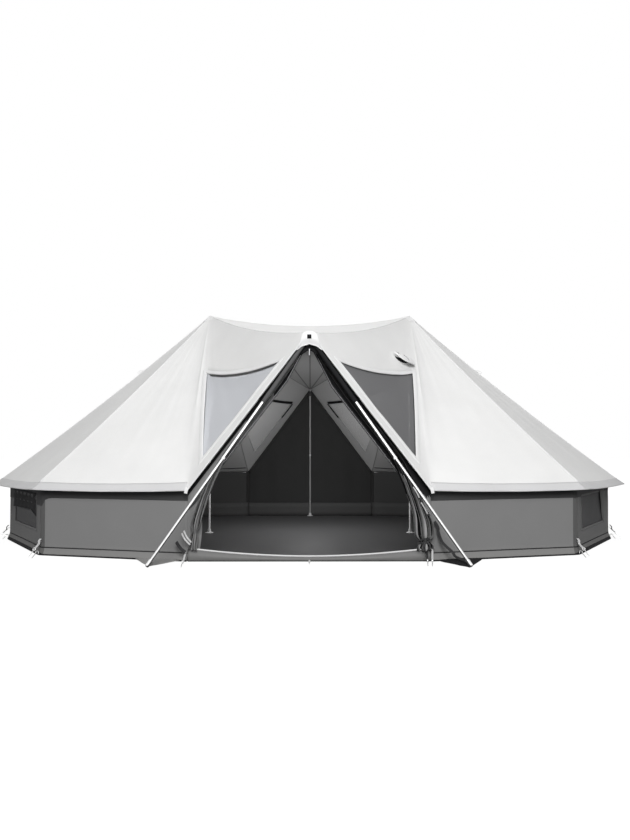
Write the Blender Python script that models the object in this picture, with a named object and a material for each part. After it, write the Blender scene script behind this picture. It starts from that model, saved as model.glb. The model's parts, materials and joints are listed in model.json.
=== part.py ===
"""Twin-peak glamping tent with an A-frame doorway, pitched and pegged out.

Two main poles carry a sagging ridge, an outside A-frame carries the front apex and an inner pole
the rear one. Metres, +Z up, +X to the right as seen from the front, the front door towards -Y.
The origin is on the ground midway between the two main poles.
"""
import math

import bmesh
import bpy
import numpy as np
from mathutils import Matrix, Vector

# Clearances and cloth
GAP = 0.0004                    # between pieces that touch
CANVAS = 0.002                  # roof, wall and door canvas
SCREEN = 0.0015                 # window mesh
GROUNDSHEET = 0.002
SEAM_LAP = 0.020                # window mesh over the canvas round its hole

# Roof
PEAK_HEIGHT = 2.500
PEAK_SPACING = 2.310            # between the two main poles
RIDGE_SAG = 0.115               # drop of the ridge midway between the peaks
RIDGE_STEPS = 12
FRONT_REACH = 2.190             # from the line of the main poles to the front edge
FRONT_APEX_HEIGHT = 2.000
DOOR_EAVE_HALF = 1.060          # half width of the front gable at its eave
DOOR_EAVE_HEIGHT = 0.620
REAR_REACH = 2.100
REAR_APEX_HEIGHT = 1.800
REAR_EAVE_HALF = 0.880
CORNER_OUT = 1.395              # eave corners beside the doors, out from the peak
CORNER_BACK = 0.390             # and behind the roof's front edge
CORNER_FORWARD = 0.300          # and ahead of its rear edge
CORNER_HEIGHT = 0.607
END_OUT = 2.245                 # eave tips at the two ends, out from the peak
END_ALONG = 0.550
END_HEIGHT = 0.590

# Walls and sills
CORNER_OVERHANG = 0.114         # eave beyond the wall, measured along the hip's plan
END_OVERHANG = 0.165
DOOR_SETBACK = 0.090            # doorway behind the roof's front edge
FRONT_SILL_END_HEIGHT = 0.110
FRONT_SILL_MID_HEIGHT = 0.040
SILL_STEPS = 10
REAR_SILL_HEIGHT = 0.100
SURROUND_DEPTH = 0.250          # canvas strip down from the roof at the front doorway

# Roof windows: corners as distance along the sloping gable edge and in from it
FRONT_WINDOW = ((0.350, 0.170), (0.840, 1.410), (1.440, 0.190))
REAR_WINDOW = ((0.300, 0.170), (0.640, 1.410), (1.170, 0.190))

# Wall windows in the two end walls beside the front
WALL_WINDOW_START = 0.210       # from the wall's corner
WALL_WINDOW_LENGTH = 0.940
WALL_WINDOW_SILL = 0.220
WALL_WINDOW_HEIGHT = 0.305

# Vent hood above the right front roof window
VENT_ALONG = 0.605
VENT_IN = 1.470
VENT_WIDTH = 0.300
VENT_DEPTH = 0.140
VENT_TURN = math.radians(60)    # of its hinge against the gable edge
VENT_OPEN = math.radians(18)
VENT_STEPS = 10
VENT_SQUARENESS = 0.7    # below 1 its lip's corners are squarer than an oval's

# Main and rear poles
POLE_SIDES = 20
MAIN_POLE_RADIUS = 0.016
REAR_POLE_RADIUS = 0.0125
POLE_WALL = 0.0012
POLE_CLEARANCE = 0.0004         # of a lower tube in the upper one's bore
POLE_JOINT_HEIGHT = 1.150       # lower end of the upper tube
REAR_JOINT_HEIGHT = 0.850
POLE_INSERT = 0.250             # lower tube inside the upper one
MAIN_FOOT_RADIUS = 0.045
REAR_FOOT_RADIUS = 0.040
FOOT_THICKNESS = 0.004
PEAK_TIP_SLOPE = 1.15           # rise over run of the conical pole tips
REAR_TIP_SLOPE = 1.80
TIP_FLAT = 0.002

# A-frame
LEG_RADIUS = 0.014
LEG_FOOT_HALF = 1.345           # from the centre line to a foot
LEG_FOOT_REACH = 0.240          # feet in front of the roof's edge
LEG_FOOT_RADIUS = 0.018
LEG_FOOT_LENGTH = 0.050
LEG_UPPER_LENGTH = 1.250
PIVOT_HALF = 0.022
PIVOT_HEIGHT = 1.924
PIVOT_REACH = 0.035             # pivots in front of the roof's edge
PIVOT_PIN_RADIUS = 0.004
EYE_LENGTH = 0.015              # leg beyond its pivot
EYE_SOLID = 0.040               # solid end of the leg below its pivot
HUB_PLATE = 0.003
HUB_HALF_WIDTH = 0.036
HUB_DROP = 0.020                # plates below the pivots
HUB_RISE = 0.021                # plates above the pivots, up to the bridge
HUB_BRIDGE = 0.006
SPIGOT_RADIUS = 0.006

# Apex cap over the hub
CAP_TOP = 2.007
CAP_ROUND = 0.058               # radius of its crown
CAP_HALF_WIDTH = 0.108
CAP_SIDE_HEIGHT = 1.842
CAP_MID_HEIGHT = 1.887
CAP_DEPTH = 0.079
CAP_WALL = 0.003
CAP_STEPS = 12

# Door flaps, rolled and tied back: height, distance out from the centre line, radius of the roll
FLAP_PATH = ((1.800, 0.075, 0.014), (1.385, 0.395, 0.026), (0.920, 0.750, 0.038),
             (0.620, 0.895, 0.047), (0.360, 0.968, 0.052), (0.135, 0.995, 0.046))
FLAP_RINGS = 36
FLAP_SIDES = 24
FLAP_FOLDS = 6
FLAP_FOLD_DEPTH = 0.22          # of the roll's radius
FLAP_TWIST = math.radians(70)   # of the folds from top to bottom

# Pegs at the corners
PEG_RADIUS = 0.004
PEG_SIDES = 8
PEG_TOP_HEIGHT = 0.125
PEG_TIP_LENGTH = 0.020
CORNER_PEG_LEAN = (0.060, -0.180)
END_PEG_LEAN = (0.110, -0.110)

SIDES = (("left", -1), ("right", 1))


def material(name, colour, roughness, metallic=0.0):
    """A plain Principled material."""
    result = bpy.data.materials.new(name)
    result.use_nodes = True
    shader = result.node_tree.nodes["Principled BSDF"]
    shader.inputs["Base Color"].default_value = (*colour, 1.0)
    shader.inputs["Roughness"].default_value = roughness
    shader.inputs["Metallic"].default_value = metallic
    return result


def new_object(name, mesh_data, finish, origin=(0, 0, 0)):
    """One object from a filled bmesh in world coordinates, with its origin at a given point."""
    bmesh.ops.recalc_face_normals(mesh_data, faces=mesh_data.faces)
    bmesh.ops.translate(mesh_data, verts=mesh_data.verts, vec=-Vector(origin))
    mesh = bpy.data.meshes.new(name)
    mesh_data.to_mesh(mesh)
    mesh_data.free()
    mesh.materials.append(finish)
    result = bpy.data.objects.new(name, mesh)
    result.location = origin
    bpy.context.scene.collection.objects.link(result)
    return result


def shade_round(item, angle=math.radians(40)):
    """Smooth shading, with edges sharper than the angle kept sharp."""
    item.data.shade_smooth()
    item.data.set_sharp_from_angle(angle=angle)


def slab(name, outer, inner, finish, holes=None, fan=False, origin=(0, 0, 0)):
    """A sheet between two matching outlines, whole or with a hole that has as many corners."""
    mesh_data = bmesh.new()
    count = len(outer)
    outlines = (outer, inner, *(holes or ()))
    loops = [[mesh_data.verts.new(point) for point in outline] for outline in outlines]
    pairs = [(i, (i + 1) % count) for i in range(count)]
    for i, j in pairs:
        mesh_data.faces.new((loops[0][i], loops[0][j], loops[1][j], loops[1][i]))
    for side in (0, 1):
        loop = loops[side]
        if holes:
            hole = loops[2 + side]
            for i, j in pairs:
                mesh_data.faces.new((loop[i], loop[j], hole[j], hole[i]))
        elif fan:
            for i in range(count - 2):
                mesh_data.faces.new((loop[i], loop[i + 1], loop[-1]))
        else:
            mesh_data.faces.new(loop)
    if holes:
        for i, j in pairs:
            mesh_data.faces.new((loops[2][i], loops[2][j], loops[3][j], loops[3][i]))
    return new_object(name, mesh_data, finish, origin)


def lathe(name, profile, sides, finish, frame):
    """A solid turned about the local Z axis from a profile that starts and ends on the axis."""
    mesh_data = bmesh.new()
    rings = []
    for radius, height in profile:
        if radius == 0:
            rings.append([mesh_data.verts.new((0, 0, height))] * sides)
            continue
        turns = [2 * math.pi * k / sides for k in range(sides)]
        ring = [(radius * math.cos(turn), radius * math.sin(turn), height) for turn in turns]
        rings.append([mesh_data.verts.new(point) for point in ring])
    for low, high in zip(rings, rings[1:]):
        for k in range(sides):
            corners = (low[k], low[(k + 1) % sides], high[(k + 1) % sides], high[k])
            mesh_data.faces.new(tuple(dict.fromkeys(corners)))
    result = new_object(name, mesh_data, finish)
    result.matrix_world = frame
    shade_round(result)
    return result


def boolean(target, tool, operation):
    """Joins a tool to the target or cuts it away, and keeps the tool as a wire guide."""
    tool.hide_render = True
    tool.display_type = "WIRE"
    modifier = target.modifiers.new(tool.name, "BOOLEAN")
    modifier.operation = operation
    modifier.object = tool
    modifier.solver = "EXACT"


def solve_shift(normals, distances):
    """The shortest move that goes the given distance along each normal."""
    rows = np.array([tuple(normal) for normal in normals])
    return np.linalg.lstsq(rows, np.array(distances), rcond=None)[0]


def inset(outline, gaps):
    """The outline with edge i, from corner i to the next, moved in by gaps[i] in its own surface."""
    centre = sum(outline, Vector()) / len(outline)
    result = []
    for i, point in enumerate(outline):
        after = outline[(i + 1) % len(outline)]
        normals = []
        for start, end in ((outline[i - 1], point), (point, after)):
            edge = (end - start).normalized()
            inward = centre - start
            normals.append((inward - inward.dot(edge) * edge).normalized())
        shift = solve_shift(normals, (gaps[i - 1], gaps[i]))
        result.append(point + Vector(shift))
    return result


def moved(points, shift):
    """The points, all moved by one vector."""
    return [point + shift for point in points]


def mirrored(points, side):
    """The points on the right, or their mirror images on the left."""
    return [Vector((side * point.x, point.y, point.z)) for point in points]


def normal_of(a, b, c):
    """Unit normal of the plane through three points, pointing up."""
    normal = (b - a).cross(c - a).normalized()
    return normal if normal.z > 0 else -normal


def plane_height(corners, x, y):
    """Height at x, y of the plane through the first three corners."""
    normal = normal_of(*corners[:3])
    base = corners[0]
    return base.z - (normal.x * (x - base.x) + normal.y * (y - base.y)) / normal.z


# Roof corners of the right-hand half, on the outer face
PEAK_X = PEAK_SPACING / 2
ROOF = {
    "peak": Vector((PEAK_X, 0, PEAK_HEIGHT)),
    "apex_front": Vector((0, -FRONT_REACH, FRONT_APEX_HEIGHT)),
    "eave_front": Vector((DOOR_EAVE_HALF, -FRONT_REACH, DOOR_EAVE_HEIGHT)),
    "corner_front": Vector((PEAK_X + CORNER_OUT, CORNER_BACK - FRONT_REACH, CORNER_HEIGHT)),
    "tip_front": Vector((PEAK_X + END_OUT, -END_ALONG, END_HEIGHT)),
    "tip_rear": Vector((PEAK_X + END_OUT, END_ALONG, END_HEIGHT)),
    "corner_rear": Vector((PEAK_X + CORNER_OUT, REAR_REACH - CORNER_FORWARD, CORNER_HEIGHT)),
    "eave_rear": Vector((REAR_EAVE_HALF, REAR_REACH, DOOR_EAVE_HEIGHT)),
    "apex_rear": Vector((0, REAR_REACH, REAR_APEX_HEIGHT)),
}

# Side panels, each from the peak round to the next seam
PANELS = {
    "gable_front": ("peak", "apex_front", "eave_front"),
    "front": ("peak", "eave_front", "corner_front"),
    "end_front": ("peak", "corner_front", "tip_front"),
    "end_mid": ("peak", "tip_front", "tip_rear"),
    "end_rear": ("peak", "tip_rear", "corner_rear"),
    "rear": ("peak", "corner_rear", "eave_rear"),
    "gable_rear": ("peak", "eave_rear", "apex_rear"),
}


def ridge_point(share):
    """A point of the sagging ridge, from the left peak at 0 to the right one at 1."""
    sag = RIDGE_SAG * 4 * share * (1 - share)
    return Vector((PEAK_SPACING * (share - 0.5), 0, PEAK_HEIGHT - sag))


def top_normal(apex, share):
    """Normal of the top sheet along its line from an apex to the ridge."""
    step = 0.5 / RIDGE_STEPS
    low, high = max(share - step, 0), min(share + step, 1)
    return normal_of(ROOF[apex], ridge_point(low), ridge_point(high))


def inner_roof():
    """The roof corners on the inner face, a canvas thickness in from every panel that meets there."""
    result = {}
    for key, point in ROOF.items():
        normals = []
        for corners in PANELS.values():
            if key in corners:
                normals.append(normal_of(*(ROOF[corner] for corner in corners)))
        for apex, panel in (("apex_front", "gable_front"), ("apex_rear", "gable_rear")):
            if key == apex:
                normal = normal_of(*(ROOF[corner] for corner in PANELS[panel]))
                normals.append(Vector((-normal.x, normal.y, normal.z)))
                normals.append(top_normal(apex, 0.5))
            if key == "peak":
                normals.append(top_normal(apex, 1))
        result[key] = point + Vector(solve_shift(normals, [-CANVAS] * len(normals)))
    return result


ROOF_INSIDE = inner_roof()
SEAM = GAP / 2


def ceiling(panel, x, y):
    """Height just under a panel of the right-hand half."""
    corners = [ROOF_INSIDE[key] for key in PANELS[panel]]
    normal = normal_of(*corners)
    return plane_height(corners, x, y) - GAP / normal.z


def panel_outlines(panel):
    """Outer and inner outlines of a side panel of the right-hand half, drawn back from its seams."""
    keys = PANELS[panel]
    free = {frozenset(("apex_front", "eave_front")), frozenset(("eave_rear", "apex_rear"))}
    gaps = []
    for start, end in zip(keys, keys[1:] + keys[:1]):
        shared = "peak" in (start, end) and frozenset((start, end)) not in free
        gaps.append(SEAM if shared else 0)
    return [inset([corners[key] for key in keys], gaps) for corners in (ROOF, ROOF_INSIDE)]


def gable_frame(end, corners):
    """Base point, direction along the gable edge and direction in from it towards the peak."""
    apex, eave, peak = (corners[key] for key in (f"apex_{end}", f"eave_{end}", "peak"))
    along = (eave - apex).normalized()
    inward = peak - apex
    return apex, along, (inward - inward.dot(along) * along).normalized()


def gable_point(end, corners, along, inward):
    """A point of a gable panel by its distances along the gable edge and in from it."""
    base, edge, cross = gable_frame(end, corners)
    return base + along * edge + inward * cross


def roof_top(end, finish):
    """The top sheet on one side of the ridge: straight lines from the apex to the sagging ridge."""
    apex = f"apex_{end}"
    shares = [k / RIDGE_STEPS for k in range(RIDGE_STEPS + 1)]
    outer = [ridge_point(share) for share in shares] + [ROOF[apex]]
    drop = ROOF_INSIDE["peak"] - ROOF["peak"]
    inner = [ridge_point(0) + Vector((-drop.x, drop.y, drop.z))]
    for share in shares[1:-1]:
        inner.append(ridge_point(share) - Vector((0, 0, CANVAS / top_normal(apex, share).z)))
    inner += [ROOF_INSIDE["peak"], ROOF_INSIDE[apex]]
    gaps = [SEAM] * len(outer)
    slab(f"roof_top_{end}", inset(outer, gaps), inset(inner, gaps), finish, fan=True)


def roof_window(end, corners, lap):
    """Corners of a roof window's hole, widened by a lap, in the order of the gable panel's corners."""
    window, order = (FRONT_WINDOW, (1, 0, 2)) if end == "front" else (REAR_WINDOW, (1, 2, 0))
    hole = [gable_point(end, corners, *window[k]) for k in order]
    return inset(hole, [-lap] * 3)


def build_roof(canvas, screen, cover_finish):
    """Sixteen canvas panels, the four roof windows and the cover of the left front one."""
    for end in ("front", "rear"):
        roof_top(end, canvas)
    for hand, side in SIDES:
        for panel in PANELS:
            outer, inner = (mirrored(outline, side) for outline in panel_outlines(panel))
            holes = None
            if panel.startswith("gable"):
                end = panel.removeprefix("gable_")
                holes = [mirrored(roof_window(end, corners, 0), side) for corners in (ROOF, ROOF_INSIDE)]
            slab(f"roof_{panel}_{hand}", outer, inner, canvas, holes)
        for end in ("front", "rear"):
            face = mirrored(roof_window(end, ROOF_INSIDE, SEAM_LAP), side)
            inward = -normal_of(*face)
            outer = moved(face, GAP * inward)
            inner = moved(outer, SCREEN * inward)
            slab(f"roof_window_{end}_{hand}", outer, inner, screen)
            if end == "front" and hand == "left":
                outer = moved(inner, GAP * inward)
                slab("roof_window_cover", outer, moved(outer, CANVAS * inward), cover_finish, origin=outer[0])


def wall_plan():
    """Outer plan corners of the right-hand walls, from the front doorway round to the rear one."""
    peak = ROOF["peak"]

    def on_hip(key, overhang):
        tip = ROOF[key]
        run = Vector((tip.x - peak.x, tip.y))
        return Vector((peak.x, 0)) + run * (1 - overhang / run.length)

    eave = ROOF["eave_front"]
    door_y = DOOR_SETBACK - FRONT_REACH
    door_x = peak.x + (eave.x - peak.x) * door_y / eave.y
    return [
        Vector((door_x, door_y)),
        on_hip("corner_front", CORNER_OVERHANG),
        on_hip("tip_front", END_OVERHANG),
        on_hip("tip_rear", END_OVERHANG),
        on_hip("corner_rear", CORNER_OVERHANG),
        Vector((REAR_EAVE_HALF, REAR_REACH)),
    ]


def inner_plan(plan):
    """The plan moved in by the canvas, with its two ends cut across the doorways."""
    result = []
    for i, point in enumerate(plan):
        normals, distances = [], []
        for start, end in zip(plan[max(i - 1, 0):i + 1], plan[max(i, 1):i + 2]):
            run = (end - start).normalized()
            normals.append((-run.y, run.x))
            distances.append(CANVAS)
        if i in (0, len(plan) - 1):
            normals.append((1, 0))
            distances.append(0)
        result.append(point + Vector(solve_shift(normals, distances)))
    return result


WALLS = ("front", "end_front", "end_mid", "end_rear", "rear")
WALL_PLAN = wall_plan()
WALL_PLAN_INSIDE = inner_plan(WALL_PLAN)
DOOR_X = WALL_PLAN[0].x
DOOR_Y = WALL_PLAN[0].y


def wall_outline(index, plan, holes=False):
    """Four corners of a wall's face or of its window hole, from the plan line it stands on."""
    start, end = plan[index], plan[index + 1]
    run = (end - start).normalized()
    if holes:
        low, high = WALL_WINDOW_SILL, WALL_WINDOW_SILL + WALL_WINDOW_HEIGHT
        near = start + WALL_WINDOW_START * run
        far = near + WALL_WINDOW_LENGTH * run
        spots = ((near, low), (far, low), (far, high), (near, high))
    else:
        near, far = start + SEAM * run, end - SEAM * run
        panel = WALLS[index]
        heights = (ceiling(panel, far.x, far.y), ceiling(panel, near.x, near.y))
        spots = ((near, 0), (far, 0), (far, heights[0]), (near, heights[1]))
    return [Vector((spot.x, spot.y, height)) for spot, height in spots]


def build_walls(canvas, screen):
    """Ten wall panels, hung under the roof inside the eaves, and the front end walls' windows."""
    for hand, side in SIDES:
        for index, wall in enumerate(WALLS):
            faces = [mirrored(wall_outline(index, plan), side) for plan in (WALL_PLAN, WALL_PLAN_INSIDE)]
            holes = None
            if wall == "end_front":
                plans = (WALL_PLAN, WALL_PLAN_INSIDE)
                holes = [mirrored(wall_outline(index, plan, holes=True), side) for plan in plans]
                face = inset(holes[1], [-SEAM_LAP] * 4)
                inward = (holes[1][0] - holes[0][0]).normalized()
                outer = moved(face, GAP * inward)
                slab(f"wall_window_{hand}", outer, moved(outer, SCREEN * inward), screen)
            slab(f"wall_{wall}_{hand}", *faces, canvas, holes)


def build_floor(sheet):
    """The groundsheet inside the walls, and the upright sills of the two doorways."""
    right = [Vector((point.x, point.y, 0)) for point in WALL_PLAN_INSIDE]
    outline = inset(right + mirrored(right[::-1], -1), [GAP] * (2 * len(right)))
    slab("groundsheet", moved(outline, Vector((0, 0, GROUNDSHEET))), outline, sheet)

    half = DOOR_X - GAP
    sag = FRONT_SILL_END_HEIGHT - FRONT_SILL_MID_HEIGHT
    outer = [Vector((half, DOOR_Y, 0)), Vector((-half, DOOR_Y, 0))]
    for k in range(SILL_STEPS + 1):
        share = 2 * k / SILL_STEPS - 1
        outer.append(Vector((half * share, DOOR_Y, FRONT_SILL_MID_HEIGHT + sag * share ** 2)))
    slab("front_sill", outer, moved(outer, Vector((0, CANVAS, 0))), sheet)

    half = REAR_EAVE_HALF - GAP
    spots = ((-half, 0), (half, 0), (half, REAR_SILL_HEIGHT), (-half, REAR_SILL_HEIGHT))
    outer = [Vector((x, REAR_REACH, z)) for x, z in spots]
    slab("rear_sill", outer, moved(outer, Vector((0, -CANVAS, 0))), sheet)


def build_rear_door(canvas):
    """Two canvas leaves that meet at the centre zip, each sewn to the roof along its sloping edge."""
    edge_x = REAR_EAVE_HALF - GAP
    crown_x = REAR_POLE_RADIUS
    crown_z = ceiling("gable_rear", crown_x, REAR_REACH)
    low = REAR_SILL_HEIGHT + GAP
    spots = ((SEAM, low), (edge_x, low), (edge_x, ceiling("gable_rear", edge_x, REAR_REACH)),
             (crown_x, crown_z), (SEAM, crown_z))
    for hand, side in SIDES:
        outer = mirrored([Vector((x, REAR_REACH, z)) for x, z in spots], side)
        slab(f"rear_door_{hand}", outer, moved(outer, Vector((0, -CANVAS, 0))), canvas, origin=outer[2])


def build_front_doorway(surround, flap):
    """The canvas strips under the roof's front slopes, and the two door flaps tied back on them."""
    apex, middle = ROOF["apex_front"], ridge_point(0.5)
    rise = (middle.z - apex.z) / FRONT_REACH
    crown_z = apex.z + rise * DOOR_SETBACK - CANVAS * math.hypot(1, rise) - GAP
    edge_x = DOOR_X - GAP
    edge_z = ceiling("gable_front", edge_x, DOOR_Y)
    slope = (ceiling("gable_front", 0, DOOR_Y) - edge_z) / edge_x
    crown_x = edge_x - (crown_z - edge_z) / slope
    spots = ((SEAM, crown_z), (crown_x, crown_z), (edge_x, edge_z), (edge_x, edge_z - SURROUND_DEPTH),
             (SEAM, edge_z - SURROUND_DEPTH + slope * (edge_x - SEAM)))
    for hand, side in SIDES:
        outer = mirrored([Vector((x, DOOR_Y, z)) for x, z in spots], side)
        slab(f"door_surround_{hand}", outer, moved(outer, Vector((0, CANVAS, 0))), surround)
        build_flap(hand, side, flap)


def flap_station(share):
    """Centre and radius of the rolled flap, smoothly between the stations of its path."""
    place = share * (len(FLAP_PATH) - 1)
    index = min(int(place), len(FLAP_PATH) - 2)
    t = place - index
    picks = [FLAP_PATH[min(max(index + k, 0), len(FLAP_PATH) - 1)] for k in (-1, 0, 1, 2)]
    height, out, radius = (
        0.5 * (2 * b + (c - a) * t + (2 * a - 5 * b + 4 * c - d) * t ** 2 + (3 * b - a - 3 * c + d) * t ** 3)
        for a, b, c, d in zip(*picks)
    )
    return Vector((out, DOOR_Y - GAP - radius, height)), radius


def build_flap(hand, side, finish):
    """One rolled door flap: a tapering bundle of soft folds that turn slowly down its length."""
    mesh_data = bmesh.new()
    rings = []
    for k in range(FLAP_RINGS + 1):
        share = k / FLAP_RINGS
        centre, radius = flap_station(share)
        ahead, _ = flap_station(min(share + 0.01, 1))
        behind, _ = flap_station(max(share - 0.01, 0))
        run = (ahead - behind).normalized()
        across = Vector((0, 1, 0)).cross(run).normalized()
        back = run.cross(across).normalized()
        ring = []
        for j in range(FLAP_SIDES):
            turn = 2 * math.pi * j / FLAP_SIDES
            fold = 0.5 - 0.5 * math.cos(FLAP_FOLDS * (turn - FLAP_TWIST * share / FLAP_FOLDS))
            reach = radius * (1 - FLAP_FOLD_DEPTH * fold)
            point = centre + reach * (math.cos(turn) * back + math.sin(turn) * across)
            ring.append(mesh_data.verts.new((side * point.x, point.y, point.z)))
        rings.append(ring)
    for low, high in zip(rings, rings[1:]):
        for j in range(FLAP_SIDES):
            i = (j + 1) % FLAP_SIDES
            mesh_data.faces.new((low[j], low[i], high[i], high[j]))
    mesh_data.faces.new(rings[0])
    mesh_data.faces.new(rings[-1])
    shade_round(new_object(f"door_flap_{hand}", mesh_data, finish), math.radians(60))


def pole_pair(name, frame, radius, foot_radius, joint_height, tip_height, tip_slope, steel):
    """An upright pole: a lower tube with a foot plate, sliding in an upper tube with a conical tip."""
    base = GROUNDSHEET + GAP
    bore = radius - POLE_WALL
    lower = bore - POLE_CLEARANCE
    shoulder = tip_height - (radius - TIP_FLAT) * tip_slope
    lathe(f"{name}_upper", (
        (0, shoulder), (bore, shoulder), (bore, joint_height), (radius, joint_height),
        (radius, shoulder), (TIP_FLAT, tip_height), (0, tip_height),
    ), POLE_SIDES, steel, frame)
    top = joint_height + POLE_INSERT
    rise = FOOT_THICKNESS
    lathe(f"{name}_lower", (
        (0, 0), (foot_radius, 0), (foot_radius, rise), (lower, rise), (lower, top - base),
        (lower - POLE_WALL, top - base), (lower - POLE_WALL, rise), (0, rise),
    ), POLE_SIDES, steel, frame @ Matrix.Translation((0, 0, base)))


def build_poles(steel):
    """The two main poles under the peaks, and the rear pole inside the rear doorway."""
    tip = ROOF_INSIDE["peak"]
    for hand, side in SIDES:
        frame = Matrix.Translation((side * tip.x, tip.y, 0))
        pole_pair(f"main_pole_{hand}", frame, MAIN_POLE_RADIUS, MAIN_FOOT_RADIUS, POLE_JOINT_HEIGHT,
                  tip.z - TIP_FLAT * PEAK_TIP_SLOPE - GAP, PEAK_TIP_SLOPE, steel)
    rear_y = REAR_REACH - CANVAS - GAP - REAR_FOOT_RADIUS
    rise = (ridge_point(0.5).z - REAR_APEX_HEIGHT) / REAR_REACH
    roof_height = REAR_APEX_HEIGHT + rise * (REAR_REACH - rear_y - TIP_FLAT)
    tip_height = roof_height - CANVAS * math.hypot(1, rise) - GAP
    pole_pair("rear_pole", Matrix.Translation((0, rear_y, 0)), REAR_POLE_RADIUS, REAR_FOOT_RADIUS,
              REAR_JOINT_HEIGHT, tip_height, REAR_TIP_SLOPE, steel)


def a_frame_plane():
    """Frame of the A-frame's sloping plane at the midpoint of its pivots: X, across it, up along it."""
    pivot = Vector((0, -FRONT_REACH - PIVOT_REACH, PIVOT_HEIGHT))
    foot = Vector((0, -FRONT_REACH - LEG_FOOT_REACH, LEG_FOOT_RADIUS))
    up = (pivot - foot).normalized()
    across = up.cross(Vector((1, 0, 0)))
    turn = Matrix((Vector((1, 0, 0)), across, up)).transposed().to_4x4()
    return Matrix.Translation(pivot) @ turn, (pivot - foot).length


def build_a_frame(steel):
    """Two telescopic legs that hang from a hub, each free to swing about its pivot pin."""
    plane, drop = a_frame_plane()
    spread = LEG_FOOT_HALF - PIVOT_HALF
    length = math.hypot(spread, drop)
    bore = LEG_RADIUS - POLE_WALL
    lower = bore - POLE_CLEARANCE
    crown = [(LEG_RADIUS * math.cos(a), EYE_LENGTH - LEG_RADIUS * (1 - math.sin(a)))
             for a in (math.pi * k / 8 for k in range(4))]
    insert_top = POLE_INSERT - LEG_UPPER_LENGTH
    foot_top = LEG_FOOT_LENGTH - length
    foot_dome = [(LEG_FOOT_RADIUS * math.sin(a), -length - LEG_FOOT_RADIUS * math.cos(a))
                 for a in (math.pi * k / 10 for k in range(6))]
    for hand, side in SIDES:
        frame = plane @ Matrix.Translation((side * PIVOT_HALF, 0, 0))
        frame = frame @ Matrix.Rotation(-side * math.atan2(spread, drop), 4, "Y")
        upper = lathe(f"leg_upper_{hand}", (
            (0, -EYE_SOLID), (bore, -EYE_SOLID), (bore, -LEG_UPPER_LENGTH), (LEG_RADIUS, -LEG_UPPER_LENGTH),
            *crown, (0, EYE_LENGTH),
        ), POLE_SIDES, steel, frame)
        reach = 2 * LEG_RADIUS
        eye = lathe(f"eye_cutter_{hand}", rod_profile(PIVOT_PIN_RADIUS + GAP, -reach, reach), 16, steel,
                    frame @ Matrix.Rotation(math.pi / 2, 4, "X"))
        boolean(upper, eye, "DIFFERENCE")
        lathe(f"leg_lower_{hand}", (
            *foot_dome, (LEG_FOOT_RADIUS, foot_top), (lower, foot_top), (lower, insert_top),
            (lower - POLE_WALL, insert_top), (lower - POLE_WALL, foot_top), (0, foot_top),
        ), POLE_SIDES, steel, frame)
    build_hub(steel, plane)


def rod_profile(radius, low, high):
    """Profile of a plain round rod."""
    return ((0, low), (radius, low), (radius, high), (0, high))


def build_hub(steel, plane):
    """A bent steel plate over both legs' ends, with a pivot pin for each and a spigot for the cap."""
    slot = LEG_RADIUS + GAP
    face = slot + HUB_PLATE
    top = HUB_RISE + HUB_BRIDGE
    section = ((-face, -HUB_DROP), (-face, top), (face, top), (face, -HUB_DROP),
               (slot, -HUB_DROP), (slot, HUB_RISE), (-slot, HUB_RISE), (-slot, -HUB_DROP))
    ends = []
    for x in (-HUB_HALF_WIDTH, HUB_HALF_WIDTH):
        ends.append([plane @ Vector((x, y, z)) for y, z in section])
    hub = slab("a_frame_hub", *ends, steel)
    for hand, side in SIDES:
        frame = plane @ Matrix.Translation((side * PIVOT_HALF, 0, 0)) @ Matrix.Rotation(math.pi / 2, 4, "X")
        pin = lathe(f"pin_guide_{hand}", rod_profile(PIVOT_PIN_RADIUS, -face - HUB_PLATE, face + HUB_PLATE),
                    16, steel, frame)
        boolean(hub, pin, "UNION")
    seat = plane @ Vector((0, 0, top - HUB_BRIDGE / 2))
    crown_fall = SPIGOT_RADIUS ** 2 / (CAP_ROUND - CAP_WALL)
    height = CAP_TOP - CAP_WALL - GAP - crown_fall - seat.z
    spigot = lathe("spigot_guide", rod_profile(SPIGOT_RADIUS, 0, height), 16, steel, Matrix.Translation(seat))
    boolean(hub, spigot, "UNION")


def cap_arch(shrink):
    """Outline of the apex cap from its left lower corner over the crown to the right one, as x, z."""
    radius = CAP_ROUND - shrink
    middle = CAP_TOP - CAP_ROUND
    width = CAP_HALF_WIDTH - shrink
    run = Vector((width, CAP_SIDE_HEIGHT - middle))
    lean = math.atan2(run.y, run.x) + math.acos(radius / run.length)
    turns = [lean + (math.pi - 2 * lean) * k / CAP_STEPS for k in range(CAP_STEPS + 1)]
    arc = [(radius * math.cos(a), middle + radius * math.sin(a)) for a in turns]
    return [(width, CAP_SIDE_HEIGHT), *arc, (-width, CAP_SIDE_HEIGHT)]


def build_cap(canvas):
    """The rounded cap over the hub: a pocket that is open below and towards the roof."""
    rear = -FRONT_REACH - GAP
    front = rear - CAP_DEPTH
    ends = []
    for y in (front, rear):
        ends.append([Vector((x, y, z)) for x, z in (*cap_arch(0), (0, CAP_MID_HEIGHT))])
    cap = slab("apex_cap", *ends, canvas)
    pocket = []
    for y in (front + CAP_WALL, rear + CAP_DEPTH):
        arch = cap_arch(CAP_WALL)
        low = CAP_SIDE_HEIGHT - CAP_WALL
        spread = 1 + CAP_WALL / CAP_HALF_WIDTH
        corners = [(arch[0][0] * spread, low - CAP_WALL), *arch, (arch[-1][0] * spread, low - CAP_WALL)]
        pocket.append([Vector((x, y, z)) for x, z in corners])
    boolean(cap, slab("cap_cutter", *pocket, canvas), "DIFFERENCE")


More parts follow.
